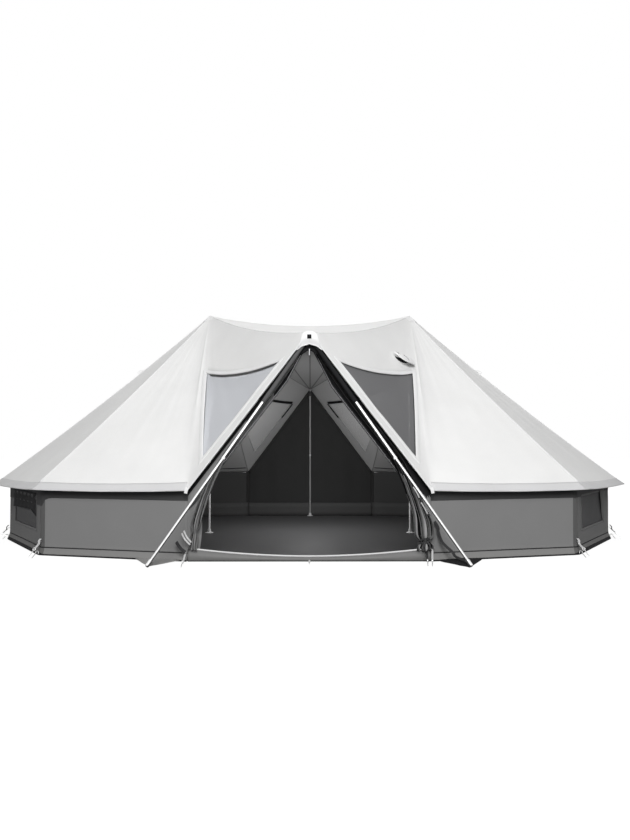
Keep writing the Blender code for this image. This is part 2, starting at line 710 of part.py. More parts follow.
def build_vent(canvas):
    """The vent hood on the right front gable panel, hinged along its upper edge and propped open."""
    base, edge, cross = gable_frame("front", ROOF)
    normal = normal_of(*(ROOF[key] for key in PANELS["gable_front"]))
    hinge = math.cos(VENT_TURN) * edge + math.sin(VENT_TURN) * cross
    down = hinge.cross(normal).normalized()
    down = down if down.dot(edge) > 0 else -down
    depth = math.cos(VENT_OPEN) * down + math.sin(VENT_OPEN) * normal
    lift = math.cos(VENT_OPEN) * normal - math.sin(VENT_OPEN) * down
    centre = base + VENT_ALONG * edge + VENT_IN * cross + GAP * normal
    outline = []
    for k in range(VENT_STEPS + 1):
        turn = math.pi * k / VENT_STEPS
        along = math.copysign(abs(math.cos(turn)) ** VENT_SQUARENESS, math.cos(turn))
        out = math.sin(turn) ** VENT_SQUARENESS if 0 < k < VENT_STEPS else 0
        outline.append(centre + VENT_WIDTH / 2 * along * hinge + VENT_DEPTH * out * depth)
    slab("vent_hood", moved(outline, CANVAS * lift), outline, canvas, origin=centre)


def build_pegs(steel):
    """Ground pegs that lean out from the wall corners at the front and the two ends."""
    for label, index, lean in (("corner", 1, CORNER_PEG_LEAN), ("end", 2, END_PEG_LEAN)):
        corner = WALL_PLAN[index]
        reach = Vector(lean)
        tilt = math.atan2(reach.length, PEG_TOP_HEIGHT)
        out = reach.normalized() * (PEG_RADIUS * math.cos(tilt) + GAP)
        head = Vector((corner.x + out.x, corner.y + out.y, PEG_TOP_HEIGHT))
        tip = Vector((corner.x + lean[0], corner.y + lean[1], 0))
        for hand, side in SIDES:
            low, high = mirrored((tip, head), side)
            run = high - low
            turn = run.to_track_quat("Z", "Y").to_matrix().to_4x4()
            lathe(f"peg_{label}_{hand}", (
                (0, 0), (PEG_RADIUS, PEG_TIP_LENGTH), (PEG_RADIUS, run.length), (0, run.length),
            ), PEG_SIDES, steel, Matrix.Translation(low) @ turn)


def main():
    for item in list(bpy.data.objects):
        bpy.data.objects.remove(item, do_unlink=True)
    roof_canvas = material("roof_canvas", (0.82, 0.82, 0.81), 0.85)
    wall_canvas = material("wall_canvas", (0.19, 0.19, 0.19), 0.85)
    dark_canvas = material("dark_canvas", (0.06, 0.06, 0.06), 0.85)
    flap_canvas = material("flap_canvas", (0.25, 0.25, 0.25), 0.85)
    cover_canvas = material("cover_canvas", (0.52, 0.54, 0.57), 0.80)
    window_screen = material("window_screen", (0.12, 0.12, 0.12), 0.70)
    floor_sheet = material("floor_sheet", (0.10, 0.10, 0.10), 0.60)
    steel = material("steel", (0.75, 0.75, 0.75), 0.25, 1.0)
    build_roof(roof_canvas, window_screen, cover_canvas)
    build_walls(wall_canvas, window_screen)
    build_floor(floor_sheet)
    build_rear_door(dark_canvas)
    build_front_doorway(dark_canvas, flap_canvas)
    build_poles(steel)
    build_a_frame(steel)
    build_cap(roof_canvas)
    build_vent(roof_canvas)
    build_pegs(steel)


main()
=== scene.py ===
"""Looks of the glamping tent: canvas, mesh, webbing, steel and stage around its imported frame.

Metres, +Z up, +X to the right as seen from the front, the front door towards -Y.
"""
import json
import math

import bmesh
import bpy
import numpy as np
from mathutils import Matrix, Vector
from mathutils.bvhtree import BVHTree

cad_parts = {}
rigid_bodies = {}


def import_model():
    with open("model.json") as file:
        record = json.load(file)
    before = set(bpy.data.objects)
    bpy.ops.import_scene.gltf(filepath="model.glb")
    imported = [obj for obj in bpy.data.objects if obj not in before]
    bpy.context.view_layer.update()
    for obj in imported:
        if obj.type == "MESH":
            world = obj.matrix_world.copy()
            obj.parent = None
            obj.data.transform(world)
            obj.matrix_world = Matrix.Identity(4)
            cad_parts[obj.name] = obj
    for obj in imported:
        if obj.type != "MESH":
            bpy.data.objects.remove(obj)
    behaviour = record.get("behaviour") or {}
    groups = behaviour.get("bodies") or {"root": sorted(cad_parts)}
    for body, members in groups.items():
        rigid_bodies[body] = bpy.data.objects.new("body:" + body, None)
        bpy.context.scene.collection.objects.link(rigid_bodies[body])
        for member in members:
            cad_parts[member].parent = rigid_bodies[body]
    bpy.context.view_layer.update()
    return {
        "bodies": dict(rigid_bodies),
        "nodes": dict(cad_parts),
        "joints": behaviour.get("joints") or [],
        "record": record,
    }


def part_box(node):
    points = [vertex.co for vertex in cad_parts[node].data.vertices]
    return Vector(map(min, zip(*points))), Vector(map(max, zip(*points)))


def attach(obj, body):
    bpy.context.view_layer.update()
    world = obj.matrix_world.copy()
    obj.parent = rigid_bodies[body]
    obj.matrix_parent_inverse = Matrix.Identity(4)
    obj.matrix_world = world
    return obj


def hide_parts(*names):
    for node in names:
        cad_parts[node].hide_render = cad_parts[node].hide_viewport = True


# Sizes of the canvas, in metres, as the frame has them
LEFT, RIGHT = SIDES = -1, 1
HANDS = {LEFT: "left", RIGHT: "right"}
ENDS = ("front", "rear")
CORNERS = {
    "peak": (1.155, 0.0, 2.500),
    "apex_front": (0.0, -2.190, 2.000),
    "eave_front": (1.060, -2.190, 0.620),
    "corner_front": (2.550, -1.800, 0.607),
    "tip_front": (3.400, -0.550, 0.590),
    "tip_rear": (3.400, 0.550, 0.590),
    "corner_rear": (2.550, 1.800, 0.607),
    "eave_rear": (0.880, 2.100, 0.620),
    "apex_rear": (0.0, 2.100, 1.800),
}
PANELS = {
    "gable_front": ("peak", "apex_front", "eave_front"),
    "front": ("peak", "eave_front", "corner_front"),
    "end_front": ("peak", "corner_front", "tip_front"),
    "end_mid": ("peak", "tip_front", "tip_rear"),
    "end_rear": ("peak", "tip_rear", "corner_rear"),
    "rear": ("peak", "corner_rear", "eave_rear"),
    "gable_rear": ("peak", "eave_rear", "apex_rear"),
}
RIDGE_SAG = 0.115
SEAM_SAG = {
    "apex_front": 0.072, "eave_front": 0.0, "corner_front": 0.024, "tip_front": 0.030,
    "tip_rear": 0.028, "corner_rear": 0.024, "eave_rear": 0.0, "apex_rear": 0.055,
}
EAVE_SAG = {"front": 0.012, "end_front": 0.010, "end_mid": 0.010, "end_rear": 0.010, "rear": 0.012}
CREASE_RADIUS = 0.11
CANVAS = 0.0016
PANEL_ROWS = 66
PANEL_COLUMNS = {"front": 34, "end_front": 30, "end_mid": 24, "end_rear": 30, "rear": 34}
RING_COLUMNS = 8
TOP_COLUMNS = 44

# Roof windows: corners as distance along the sloping gable edge and in from it
WINDOWS = {
    "front": ((0.350, 0.170), (0.840, 1.410), (1.440, 0.190)),
    "rear": ((0.300, 0.170), (0.640, 1.410), (1.170, 0.190)),
}
WINDOW_SAG = (0.022, -0.010, 0.0)     # of the top, the outer and the inner edge
NEAR_END = 1e-9     # keeps an edge's last point on that edge

# Walls
PLAN = ((1.0639, -2.1000), (2.4802, -1.7099), (3.2397, -0.5107),
        (3.2397, 0.5107), (2.4802, 1.7099), (0.8800, 2.1000))
WALL_TOP_ROWS = 3
WALL_HEIGHTS = (0.0, 0.024, 0.048, 0.070, 0.105, 0.145, 0.186, 0.220, 0.258, 0.296, 0.334,
                0.372, 0.410, 0.448, 0.487, 0.525, 0.556)
WALL_SPAN = 0.65
MUD_SEAM = 0.070
MUD_FLARE = 0.026
BAND_LOW = 0.527
WALL_WINDOW = (0.210, 0.940, 0.220, 0.525)   # start from the corner, length, sill and head
BLINDS = {   # of the end windows: low and high edge, and the hem's radius
    LEFT: (((0.21, 0.345), (0.27, 0.350), (0.40, 0.392), (0.80, 0.386), (1.22, 0.375)),
           ((0.21, 0.560), (0.27, 0.560), (0.40, 0.560), (0.80, 0.560), (1.22, 0.560)), 0.0055),
    RIGHT: (((0.985, 0.545), (1.02, 0.46), (1.06, 0.38), (1.10, 0.30), (1.155, 0.205)),
            ((1.172, 0.545), (1.172, 0.46), (1.172, 0.38), (1.172, 0.30), (1.172, 0.205)), 0.0035),
}

# Doorways: the canvas edge falls from the apex by a slope
DOOR_HALF = 1.0635
DOOR_SLOPE = 1.3019
DOOR_PLANE = -2.104
FLAP_PATHS = {   # height, distance from the middle and radius of each gathered half
    LEFT: ((1.820, 0.085, 0.014), (1.385, 0.395, 0.017), (0.920, 0.750, 0.021), (0.620, 0.900, 0.030),
           (0.360, 0.985, 0.038), (0.120, 1.020, 0.036)),
    RIGHT: ((1.830, 0.070, 0.022), (1.385, 0.390, 0.034), (0.920, 0.758, 0.042), (0.620, 0.898, 0.054),
            (0.360, 0.982, 0.056), (0.120, 1.010, 0.048)),
}
FLAP_WIDTH = 1.06
REAR_PLANE = 2.100
LAP_PLANE = 2.0905

# Legs
LEG_TOP = np.array((0.022, -2.225, 1.924))
LEG_FOOT = np.array((1.345, -2.430, 0.018))

# Relief of woven cloth
PULL_DEPTH = 0.0025
THREAD_DEPTH = 0.0004

# Floor, camera and lamps
FLOOR_HALF = 40.0
FLOOR_LEVEL = -0.001
FLOOR_GLOW = (5.0, 10.0, 0.90, 1.0)     # near and far distance, and the glow at each
SKY_LIGHT = 0.16
CAMERA_PLACE = (0.016, -8.864, 1.034)
CAMERA_TILT, CAMERA_TURN = 91.71, -0.28
CAMERA_SENSOR, CAMERA_LENS = 36.0, 32.97
LAMPS = (   # name, kind, place, aim, size and power
    ("key", "AREA", (0.3, -12.5, 6.5), (0, -0.8, 0.9), 6.0, 1390),
    ("overhead", "AREA", (0, 0, 9.0), (0, 0.01, 0), 9.0, 190),
    ("back", "AREA", (0, 12.0, 6.5), (0, 0.8, 0.9), 6.0, 420),
    ("inside", "AREA", (0, -0.2, 1.75), (0, 0.3, 0.6), 0.8, 24),
    ("lantern", "POINT", (0, 0.2, 0.75), (0, 0, 0), 0.5, 12),
)


def unit(vector):
    """The vectors at unit length."""
    vector = np.asarray(vector, float)
    return vector / np.linalg.norm(vector, axis=-1, keepdims=True)


def run_lengths(points):
    """Distance along a path at each of its points."""
    return np.append(0, np.cumsum(np.linalg.norm(np.diff(points, axis=0), axis=1)))


def corner(key, side):
    """A roof corner on the given side."""
    x, y, z = CORNERS[key]
    return np.array((x * side, y, z))


def panels_at(key):
    """The roof panels that meet at a corner."""
    return [panel for panel, keys in PANELS.items() if key in keys]


def smooth_step(value):
    """Eased share from 0 to 1."""
    value = np.clip(value, 0, 1)
    return value * value * (3 - 2 * value)


def waves(points, seed, reach):
    """Smooth uneven waves over the points, about -1 to 1, of roughly the given length."""
    rng = np.random.default_rng(seed)
    total = np.zeros(len(points))
    for _ in range(7):
        direction = unit(rng.normal(size=3))
        length = reach * rng.uniform(0.6, 1.6)
        total += np.sin(points @ direction * 2 * math.pi / length + rng.uniform(0, 6.28))
    return total / 4


def line_waves(x, seed, reach, z=0):
    """Waves along one line."""
    return waves(np.column_stack((x, x * 0, x * 0 + z)), seed, reach)


# Directions that a sheet's outer side looks in
def towards(*direction):
    """The same direction everywhere."""
    return lambda at: Vector(direction)


FRONTWARD, REARWARD, UPWARD = towards(0, -1, 0), towards(0, 1, 0), towards(0, 0, 1)


def up_and_out(at):
    """Outward direction for pieces on the roof."""
    return Vector((at.x * 0.3, at.y * 0.3, 1.0))


def out_level(at):
    """Outward direction for pieces on the walls."""
    return Vector((at.x, at.y, 0.0))


class Cloth:
    """Gathers the grids of one cloth piece, with a UV map in metres."""

    def __init__(self):
        self.points, self.faces, self.spots, self.finishes = [], [], [], []

    def grid(self, points, spots=None, closed=False, keep=None):
        """Adds a grid of points (rows, columns, 3)."""
        rows, columns = points.shape[:2]
        if spots is None:
            along = np.linalg.norm(np.diff(points, axis=0), axis=2).mean(1)
            across = np.linalg.norm(np.diff(points, axis=1), axis=2).mean(0)
            v, u = np.append(0, np.cumsum(along)), np.append(0, np.cumsum(across))
            spots = np.stack(np.broadcast_arrays(u[None, :], v[:, None]), axis=2)
        base = len(self.points)
        self.points.extend(points.reshape(-1, 3).tolist())
        flat = spots.reshape(-1, 2).tolist()
        for i in range(rows - 1):
            for j in range(columns if closed else columns - 1):
                if keep is not None and not keep(i, j):
                    continue
                k = (j + 1) % columns
                cells = (i * columns + j, i * columns + k, (i + 1) * columns + k, (i + 1) * columns + j)
                self.faces.append([base + cell for cell in cells])
                self.spots.extend(flat[cell] for cell in cells)
                self.finishes.append(0)

    def build(self, name, finishes, outward, thickness=0.0, sharp=22, merge=1e-5, offset=-1.0):
        """Makes the mesh object: merged, facing outward, and a closed shell if it has a thickness."""
        mesh = bpy.data.meshes.new(name)
        mesh.from_pydata(self.points, [], self.faces)
        mesh.uv_layers.new(name="cloth").data.foreach_set("uv", np.array(self.spots, float).ravel())
        mesh.polygons.foreach_set("material_index", self.finishes)
        for finish in finishes:
            mesh.materials.append(finish)
        clean(mesh, outward, merge)
        mesh.shade_smooth()
        mesh.set_sharp_from_angle(angle=math.radians(sharp))
        result = linked(name, mesh)
        if thickness:
            shell(result, thickness, offset)
        return result


def linked(name, data):
    """A new object in the scene."""
    item = bpy.data.objects.new(name, data)
    bpy.context.scene.collection.objects.link(item)
    return item


def clean(mesh, outward, merge):
    """Merges doubles and turns the faces to the side that outward gives for a place on them."""
    data = bmesh.new()
    data.from_mesh(mesh)
    bmesh.ops.remove_doubles(data, verts=data.verts, dist=merge)
    bmesh.ops.dissolve_degenerate(data, edges=data.edges, dist=1e-6)
    bmesh.ops.recalc_face_normals(data, faces=data.faces)
    if outward is not None:
        score = sum(face.normal.dot(outward(face.calc_center_median())) * face.calc_area() for face in data.faces)
        if score < 0:
            bmesh.ops.reverse_faces(data, faces=data.faces)
    data.to_mesh(mesh)
    data.free()


def shell(item, thickness, offset):
    """Gives a sheet its thickness."""
    modifier = item.modifiers.new("thickness", "SOLIDIFY")
    modifier.thickness, modifier.offset, modifier.use_rim = thickness, offset, True


def sheet_of(name, grid, finish, outward, thickness, sharp=40, offset=-1.0, spots=None):
    """A sheet from one grid of points."""
    cloth = Cloth()
    cloth.grid(np.asarray(grid), spots)
    return cloth.build(name, [finish], outward, thickness, sharp, offset=offset)


def strip(rows, finish, outward, thickness=0.0012, offset=1.0, name="part"):
    """A cloth strip from lines of points side by side."""
    return sheet_of(name, np.stack(rows), finish, outward, thickness, offset=offset)


def solid_of(name, points, finish, sharp, spots=None):
    """A closed solid from rings of points, its faces outward."""
    cloth = Cloth()
    cloth.grid(points, spots, closed=True)
    result = cloth.build(name, [finish], None, sharp=sharp, merge=1e-6)
    if volume_of(result.data) < 0:
        result.data.flip_normals()
    return result


def volume_of(mesh):
    """Signed volume of a closed mesh."""
    total = 0.0
    for face in mesh.polygons:
        corners = [mesh.vertices[k].co for k in face.vertices]
        for a, b in zip(corners[1:-1], corners[2:]):
            total += corners[0].dot(a.cross(b))
    return total / 6


def tube(path, radius, finish, sides=8, closed=False, flatten=1.0, caps=True, name="part"):
    """A tube along a path of points; radius is a number or one per point."""
    path = np.asarray(path, float)
    radius = np.broadcast_to(np.asarray(radius, float), (len(path),))
    run = unit(np.roll(path, -1, 0) - np.roll(path, 1, 0) if closed else np.gradient(path, axis=0))
    frame = np.cross(run[0], (0, 0, 1) if abs(run[0][2]) < 0.9 else (1, 0, 0))
    frames = []
    for step in run:
        frame = unit(frame - frame @ step * step)
        frames.append(frame)
    frames = np.array(frames)
    other = np.cross(run, frames)
    turns = np.linspace(0, 2 * math.pi, sides, endpoint=False)
    ring = np.cos(turns)[None, :, None] * frames[:, None] + flatten * np.sin(turns)[None, :, None] * other[:, None]
    points = path[:, None] + radius[:, None, None] * ring
    if closed:
        points = np.concatenate((points, points[:1]))
    elif caps:
        first, last = (np.broadcast_to(spot, (1, sides, 3)) for spot in (path[0], path[-1]))
        points = np.concatenate((first, points, last))
    u = np.linspace(0, 2 * math.pi * radius.mean(), sides + 1)[:sides]
    spots = np.stack(np.broadcast_arrays(u[None, :], run_lengths(points.mean(1))[:, None]), axis=2)
    return solid_of(name, points, finish, 60, spots)


def webbing(path, width, facing, finish, thickness=0.0018):
    """Flat webbing along a path; facing is the direction, or one per point, that its flat side looks in."""
    path = np.asarray(path, float)
    run = unit(np.gradient(path, axis=0))
    side = unit(np.cross(run, np.broadcast_to(np.asarray(facing, float), path.shape)))
    out = np.cross(side, run)
    half, thin = width / 2, thickness / 2
    ring = [path + a * half * side + b * thin * out for a, b in ((-1, -1), (1, -1), (1, 1), (-1, 1))]
    points = np.stack(ring, axis=1)
    middle = points.mean(1, keepdims=True)
    points = np.concatenate((np.repeat(middle[:1], 4, 1), points, np.repeat(middle[-1:], 4, 1)))
    u = np.array((0, width, width + 0.002, 0.002))
    spots = np.stack(np.broadcast_arrays(u[None, :], run_lengths(points.mean(1))[:, None]), axis=2)
    return solid_of("part", points, finish, 40, spots)


def turned(name, centre, axis, profile, finish, sides=24):
    """A turned part: (distance along the axis, radius) steps about a centre."""
    axis = unit(axis)
    across = unit(np.cross(axis, (0, 0, 1) if abs(axis[2]) < 0.9 else (1, 0, 0)))
    other = np.cross(axis, across)
    turns = np.linspace(0, 2 * math.pi, sides, endpoint=False)
    ring = np.cos(turns)[:, None] * across + np.sin(turns)[:, None] * other
    points = np.stack([np.asarray(centre) + along * axis + radius * ring for along, radius in profile])
    return solid_of(name, points, finish, 30)


def bent(points, count=24):
    """A smooth path through a few points."""
    points = np.asarray(points, float)
    padded = np.vstack((2 * points[0] - points[1], points, 2 * points[-1] - points[-2]))
    result = []
    for k in range(len(points) - 1):
        a, b, c, d = padded[k:k + 4]
        for t in np.linspace(0, 1, max(2, count // (len(points) - 1)), endpoint=False):
            result.append(0.5 * (2 * b + (c - a) * t + (2 * a - 5 * b + 4 * c - d) * t ** 2
                                 + (3 * b - a - 3 * c + d) * t ** 3))
    return np.array(result + [points[-1]])


def joined(name, items):
    """Several mesh objects joined into one, with their modifiers applied."""
    bpy.context.view_layer.update()
    depsgraph = bpy.context.evaluated_depsgraph_get()
    data = bmesh.new()
    finishes = []
    for item in items:
        mesh = bpy.data.meshes.new_from_object(item.evaluated_get(depsgraph))
        mesh.transform(item.matrix_world)
        finishes += [finish for finish in mesh.materials if finish not in finishes]
        table = [finishes.index(finish) for finish in mesh.materials]
        first = len(data.faces)
        data.from_mesh(mesh)
        data.faces.ensure_lookup_table()
        for face in data.faces[first:]:
            face.material_index = table[face.material_index]
    result = bpy.data.meshes.new(name)
    data.to_mesh(result)
    data.free()
    for finish in finishes:
        result.materials.append(finish)
    for item in items:
        bpy.data.objects.remove(item, do_unlink=True)
    return linked(name, result)


def sheet_area(item):
    """Area of a sheet's own mesh, before it has a thickness."""
    return sum(face.area for face in item.data.polygons)


def sheet_flat(item):
    """Width and length of a rectangle that a sheet could be cut from."""
    spots = np.zeros(len(item.data.loops) * 2)
    item.data.uv_layers[0].data.foreach_get("uv", spots)
    size = np.ptp(spots.reshape(-1, 2), axis=0)
    spare = max(1.0, sheet_area(item) / (size[0] * size[1]) * 1.002)
    return float(size[0]), float(size[1] * spare)


def place(item, body, replaces=()):
    """Lets a piece ride on its body, and hides the nodes that it stands for."""
    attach(item, body)
    if replaces:
        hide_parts(*replaces)
    return item


def hang(item, flat=None, trims=()):
    """Works out a sheet's flat size when none is given, and keeps nothing; trims is not used."""
    flat or sheet_flat(item)


def roof_trim(item):
    """A trim that goes with the canopy."""
    ROOF_TRIMS.append(place(item, "tent"))


# Node groups and finishes
def new_group(name, inputs, outputs):
    """An empty shader node group with float or colour sockets."""
    tree = bpy.data.node_groups.new(name, "ShaderNodeTree")
    for label, kind, value in inputs:
        tree.interface.new_socket(label, in_out="INPUT", socket_type=f"NodeSocket{kind}").default_value = value
    for label, kind in outputs:
        tree.interface.new_socket(label, in_out="OUTPUT", socket_type=f"NodeSocket{kind}")
    return tree, tree.nodes.new("NodeGroupInput"), tree.nodes.new("NodeGroupOutput")


def feed(tree, socket, value):
    """Links a socket, or sets a number or colour."""
    if isinstance(value, bpy.types.NodeSocket):
        tree.links.new(value, socket)
    elif value is not None:
        socket.default_value = value


def maths(tree, operation, a, b=None, clamp=False):
    """A Math node; a and b are sockets or numbers."""
    node = tree.nodes.new("ShaderNodeMath")
    node.operation, node.use_clamp = operation, clamp
    for socket, value in zip(node.inputs, (a, b)):
        feed(tree, socket, value)
    return node.outputs[0]


def mix_colour(tree, factor, a, b, mode="MIX"):
    """A colour Mix node; factor, a and b are sockets or values."""
    node = tree.nodes.new("ShaderNodeMix")
    node.data_type, node.blend_type = "RGBA", mode
    for k, value in ((0, factor), (6, a), (7, b)):
        feed(tree, node.inputs[k], value)
    return node.outputs[2]


def remap(tree, value, low, high, to_low, to_high):
    """A Map Range node."""
    node = tree.nodes.new("ShaderNodeMapRange")
    for label, number in (("Value", value), ("From Min", low), ("From Max", high), ("To Min", to_low),
                          ("To Max", to_high)):
        feed(tree, node.inputs[label], number)
    return node.outputs["Result"]


def noise(tree, coordinates, scale, detail=3.0, roughness=0.55):
    """A Noise texture's value."""
    node = tree.nodes.new("ShaderNodeTexNoise")
    for label, value in (("Vector", coordinates), ("Scale", scale), ("Detail", detail), ("Roughness", roughness)):
        feed(tree, node.inputs[label], value)
    return node.outputs["Fac"]


def scaled(tree, coordinates, scale):
    """The coordinates times a scale along each axis."""
    node = tree.nodes.new("ShaderNodeMapping")
    tree.links.new(coordinates, node.inputs["Vector"])
    node.inputs["Scale"].default_value = scale
    return node.outputs["Vector"]


def parts_of(tree, vector):
    """The x, y and z sockets of a vector."""
    node = tree.nodes.new("ShaderNodeSeparateXYZ")
    tree.links.new(vector, node.inputs[0])
    return node.outputs


def object_spots(tree):
    """The Object coordinates' socket."""
    return tree.nodes.new("ShaderNodeTexCoord").outputs["Object"]


def weave_group():
    """Plain weave from the cloth's UV map in metres: thread relief, slubs, pull lines and mottling."""
    tree, source, result = new_group("plain weave", (
        ("Threads per metre", "Float", 900.0), ("Slub", "Float", 0.3), ("Pull lines", "Float", 0.5),
        ("Mottle", "Float", 0.04), ("Colour", "Color", (0.8, 0.8, 0.8, 1.0)),
    ), (("Colour", "Color"), ("Height", "Float"), ("Pull height", "Float")))
    given, spots = source.outputs, tree.nodes.new("ShaderNodeUVMap")
    spots.uv_map = "cloth"
    spot = parts_of(tree, spots.outputs[0])
    turns = maths(tree, "MULTIPLY", given["Threads per metre"], math.pi)
    warp, weft = (maths(tree, "SINE", maths(tree, "MULTIPLY", spot[k], turns)) for k in (0, 1))
    ridge = maths(tree, "ABSOLUTE", maths(tree, "MULTIPLY", warp, weft))
    slub_noise = noise(tree, scaled(tree, spots.outputs[0], (900, 40, 1)), 1.0, 1.0)
    slub = maths(tree, "MULTIPLY", maths(tree, "SUBTRACT", slub_noise, 0.5), given["Slub"])
    tree.links.new(maths(tree, "ADD", ridge, slub), result.inputs["Height"])
    pull = noise(tree, scaled(tree, spots.outputs[0], (14, 1.2, 1)), 1.0, 3.0, 0.5)
    tree.links.new(maths(tree, "MULTIPLY", pull, given["Pull lines"]), result.inputs["Pull height"])
    where = object_spots(tree)
    broad, fine = (maths(tree, "MULTIPLY", noise(tree, where, scale, detail), share)
                   for scale, detail, share in ((2.3, 4.0, 0.7), (130.0, 2.0, 0.3)))
    swing = maths(tree, "MULTIPLY", maths(tree, "SUBTRACT", maths(tree, "ADD", broad, fine), 0.5), given["Mottle"])
    gain = maths(tree, "ADD", maths(tree, "MULTIPLY", swing, 4.0), 1.0)
    shade = maths(tree, "ADD", maths(tree, "MULTIPLY", ridge, 0.05), 0.975)
    grey = tree.nodes.new("ShaderNodeCombineColor")
    level = maths(tree, "MULTIPLY", gain, shade)
    for socket in grey.inputs:
        tree.links.new(level, socket)
    tree.links.new(mix_colour(tree, 1.0, given["Colour"], grey.outputs[0], "MULTIPLY"), result.inputs["Colour"])
    return tree


def dust_group():
    """Dust and splashes that thin out with height above the ground."""
    tree, source, result = new_group("ground dust", (
        ("Colour", "Color", (0.2, 0.2, 0.2, 1.0)), ("Dust", "Color", (0.30, 0.29, 0.27, 1.0)),
        ("Reach", "Float", 0.12), ("Amount", "Float", 0.4),
    ), (("Colour", "Color"), ("Mask", "Float")))
    given, where = source.outputs, object_spots(tree)
    near = maths(tree, "SUBTRACT", 1.0, maths(tree, "DIVIDE", parts_of(tree, where)[2], given["Reach"]), True)
    splash = noise(tree, where, 24.0, 5.0, 0.65)
    mask = maths(tree, "MULTIPLY", maths(tree, "MULTIPLY", near, splash), given["Amount"], True)
    tree.links.new(mask, result.inputs["Mask"])
    tree.links.new(mix_colour(tree, mask, given["Colour"], given["Dust"]), result.inputs["Colour"])
    return tree


def new_finish(name):
    """A new node material, its tree and its Principled shader's inputs."""
    finish = bpy.data.materials.new(name)
    finish.use_nodes = True
    return finish, finish.node_tree, finish.node_tree.nodes["Principled BSDF"].inputs


def use_group(tree, group, **values):
    """Places a node group and sets its inputs."""
    node = tree.nodes.new("ShaderNodeGroup")
    node.node_tree = group
    for label, value in values.items():
        feed(tree, node.inputs[label.replace("_", " ")], value)
    return node.outputs


def bump(tree, heights):
    """Chained Bump nodes, each (height socket, distance in metres, strength); gives the last normal."""
    normal = None
    for height, distance, strength in heights:
        node = tree.nodes.new("ShaderNodeBump")
        for label, value in (("Distance", distance), ("Strength", strength), ("Height", height), ("Normal", normal)):
            feed(tree, node.inputs[label], value)
        normal = node.outputs["Normal"]
    return normal


def tone(colour, share=1.0):
    """A grey, or a colour, times a share, as red, green, blue and alpha."""
    colour = (colour,) * 3 if isinstance(colour, float) else colour
    return (*(share * value for value in colour), 1.0)


def cloth_finish(name, colour, roughness, sheen=0.15, threads=900.0, dust=0.0, alpha=1.0, gloss=0.2):
    """Woven cloth with thread relief, pull lines and a little dust low down."""
    finish, tree, shader = new_finish(name)
    weave = use_group(tree, WEAVE, Threads_per_metre=threads, Colour=tone(colour))
    shown = use_group(tree, DUST, Amount=dust, Colour=weave["Colour"]) if dust else weave
    heights = (weave["Pull height"], PULL_DEPTH, 0.6), (weave["Height"], THREAD_DEPTH, 0.35)
    for label, value in (("Base Color", shown["Colour"]), ("Roughness", roughness), ("Sheen Weight", sheen),
                         ("Sheen Roughness", 0.5), ("Specular IOR Level", gloss), ("Alpha", alpha),
                         ("Normal", bump(tree, heights))):
        feed(tree, shader[label], value)
    return finish


def metal_finish(name, colour, roughness, grain=0.25, metallic=1.0, underside_shade=0.0):
    """Drawn tube: fine long scratches, small stains, an uneven gloss and, when asked, painted shade on its underside.
    """
    finish, tree, shader = new_finish(name)
    place_of = tree.nodes.new("ShaderNodeTexCoord").outputs
    lines = noise(tree, scaled(tree, place_of["Object"], (900, 900, 12)), 1.0, 2.0)
    stains = noise(tree, place_of["Object"], 18.0, 4.0)
    tree.links.new(remap(tree, lines, 0.3, 0.7, roughness - 0.06, roughness + grain), shader["Roughness"])
    shade = mix_colour(tree, remap(tree, stains, 0.45, 0.75, 0.0, 0.35), tone(colour), tone(colour, 0.72))
    shader["Metallic"].default_value = metallic
    if underside_shade:
        # Painted shade: faces that point down are darkened to near black and lose their metal look, as the shadow on
        # the tube's underside.
        level = parts_of(tree, place_of["Normal"])[2]
        below = maths(tree, "ADD", level, maths(tree, "MULTIPLY", stains, 0.10))
        underside_shade_mask = remap(tree, below, -0.06, 0.04, underside_shade, 0.0)
        shade = mix_colour(tree, underside_shade_mask, shade, (0.025, 0.024, 0.023, 1.0))
        tree.links.new(remap(tree, underside_shade_mask, 0.0, 1.0, metallic, 0.0), shader["Metallic"])
        shader["Specular IOR Level"].default_value = 0.1
    tree.links.new(shade, shader["Base Color"])
    tree.links.new(bump(tree, ((lines, 0.0002, 0.2),)), shader["Normal"])
    return finish


def plastic_finish(name, colour, roughness):
    """Moulded plastic or rubber with a fine grain."""
    finish, tree, shader = new_finish(name)
    where = object_spots(tree)
    grain, patches = noise(tree, where, 700.0, 2.0), noise(tree, where, 30.0, 3.0)
    for label, value in (("Base Color", mix_colour(tree, patches, tone(colour), tone(colour, 1.35))),
                         ("Roughness", remap(tree, grain, 0.3, 0.7, roughness - 0.08, roughness + 0.08)),
                         ("Normal", bump(tree, ((grain, 0.0003, 0.3),)))):
        feed(tree, shader[label], value)
    return finish


# The roof
def panel_normal(side, panel):
    """Outward normal of a flat roof panel."""
    a, b, c = (corner(key, side) for key in PANELS[panel])
    normal = unit(np.cross(b - a, c - a))
    return normal if normal[2] > 0 else -normal


def seam_normal(side, key):
    """Mean outward normal of the panels at a corner."""
    return unit(sum(panel_normal(side, panel) for panel in panels_at(key)))


def seam_shift(side, key):
    """How the middle of the seam from the peak to a corner moves under tension."""
    if key.startswith("apex"):
        return np.array((0.0, 0.0, -SEAM_SAG[key]))
    return -SEAM_SAG[key] * seam_normal(side, key)


def shares_of(side, panel, flat):
    """Shares of the panel's three corners for points in its plane."""
    a, b, c = (corner(key, side) for key in PANELS[panel])
    frame = np.stack((b - a, c - a), axis=1)
    pair = np.linalg.lstsq(frame, (flat - a).T, rcond=None)[0].T
    return np.column_stack((1 - pair.sum(1), pair))


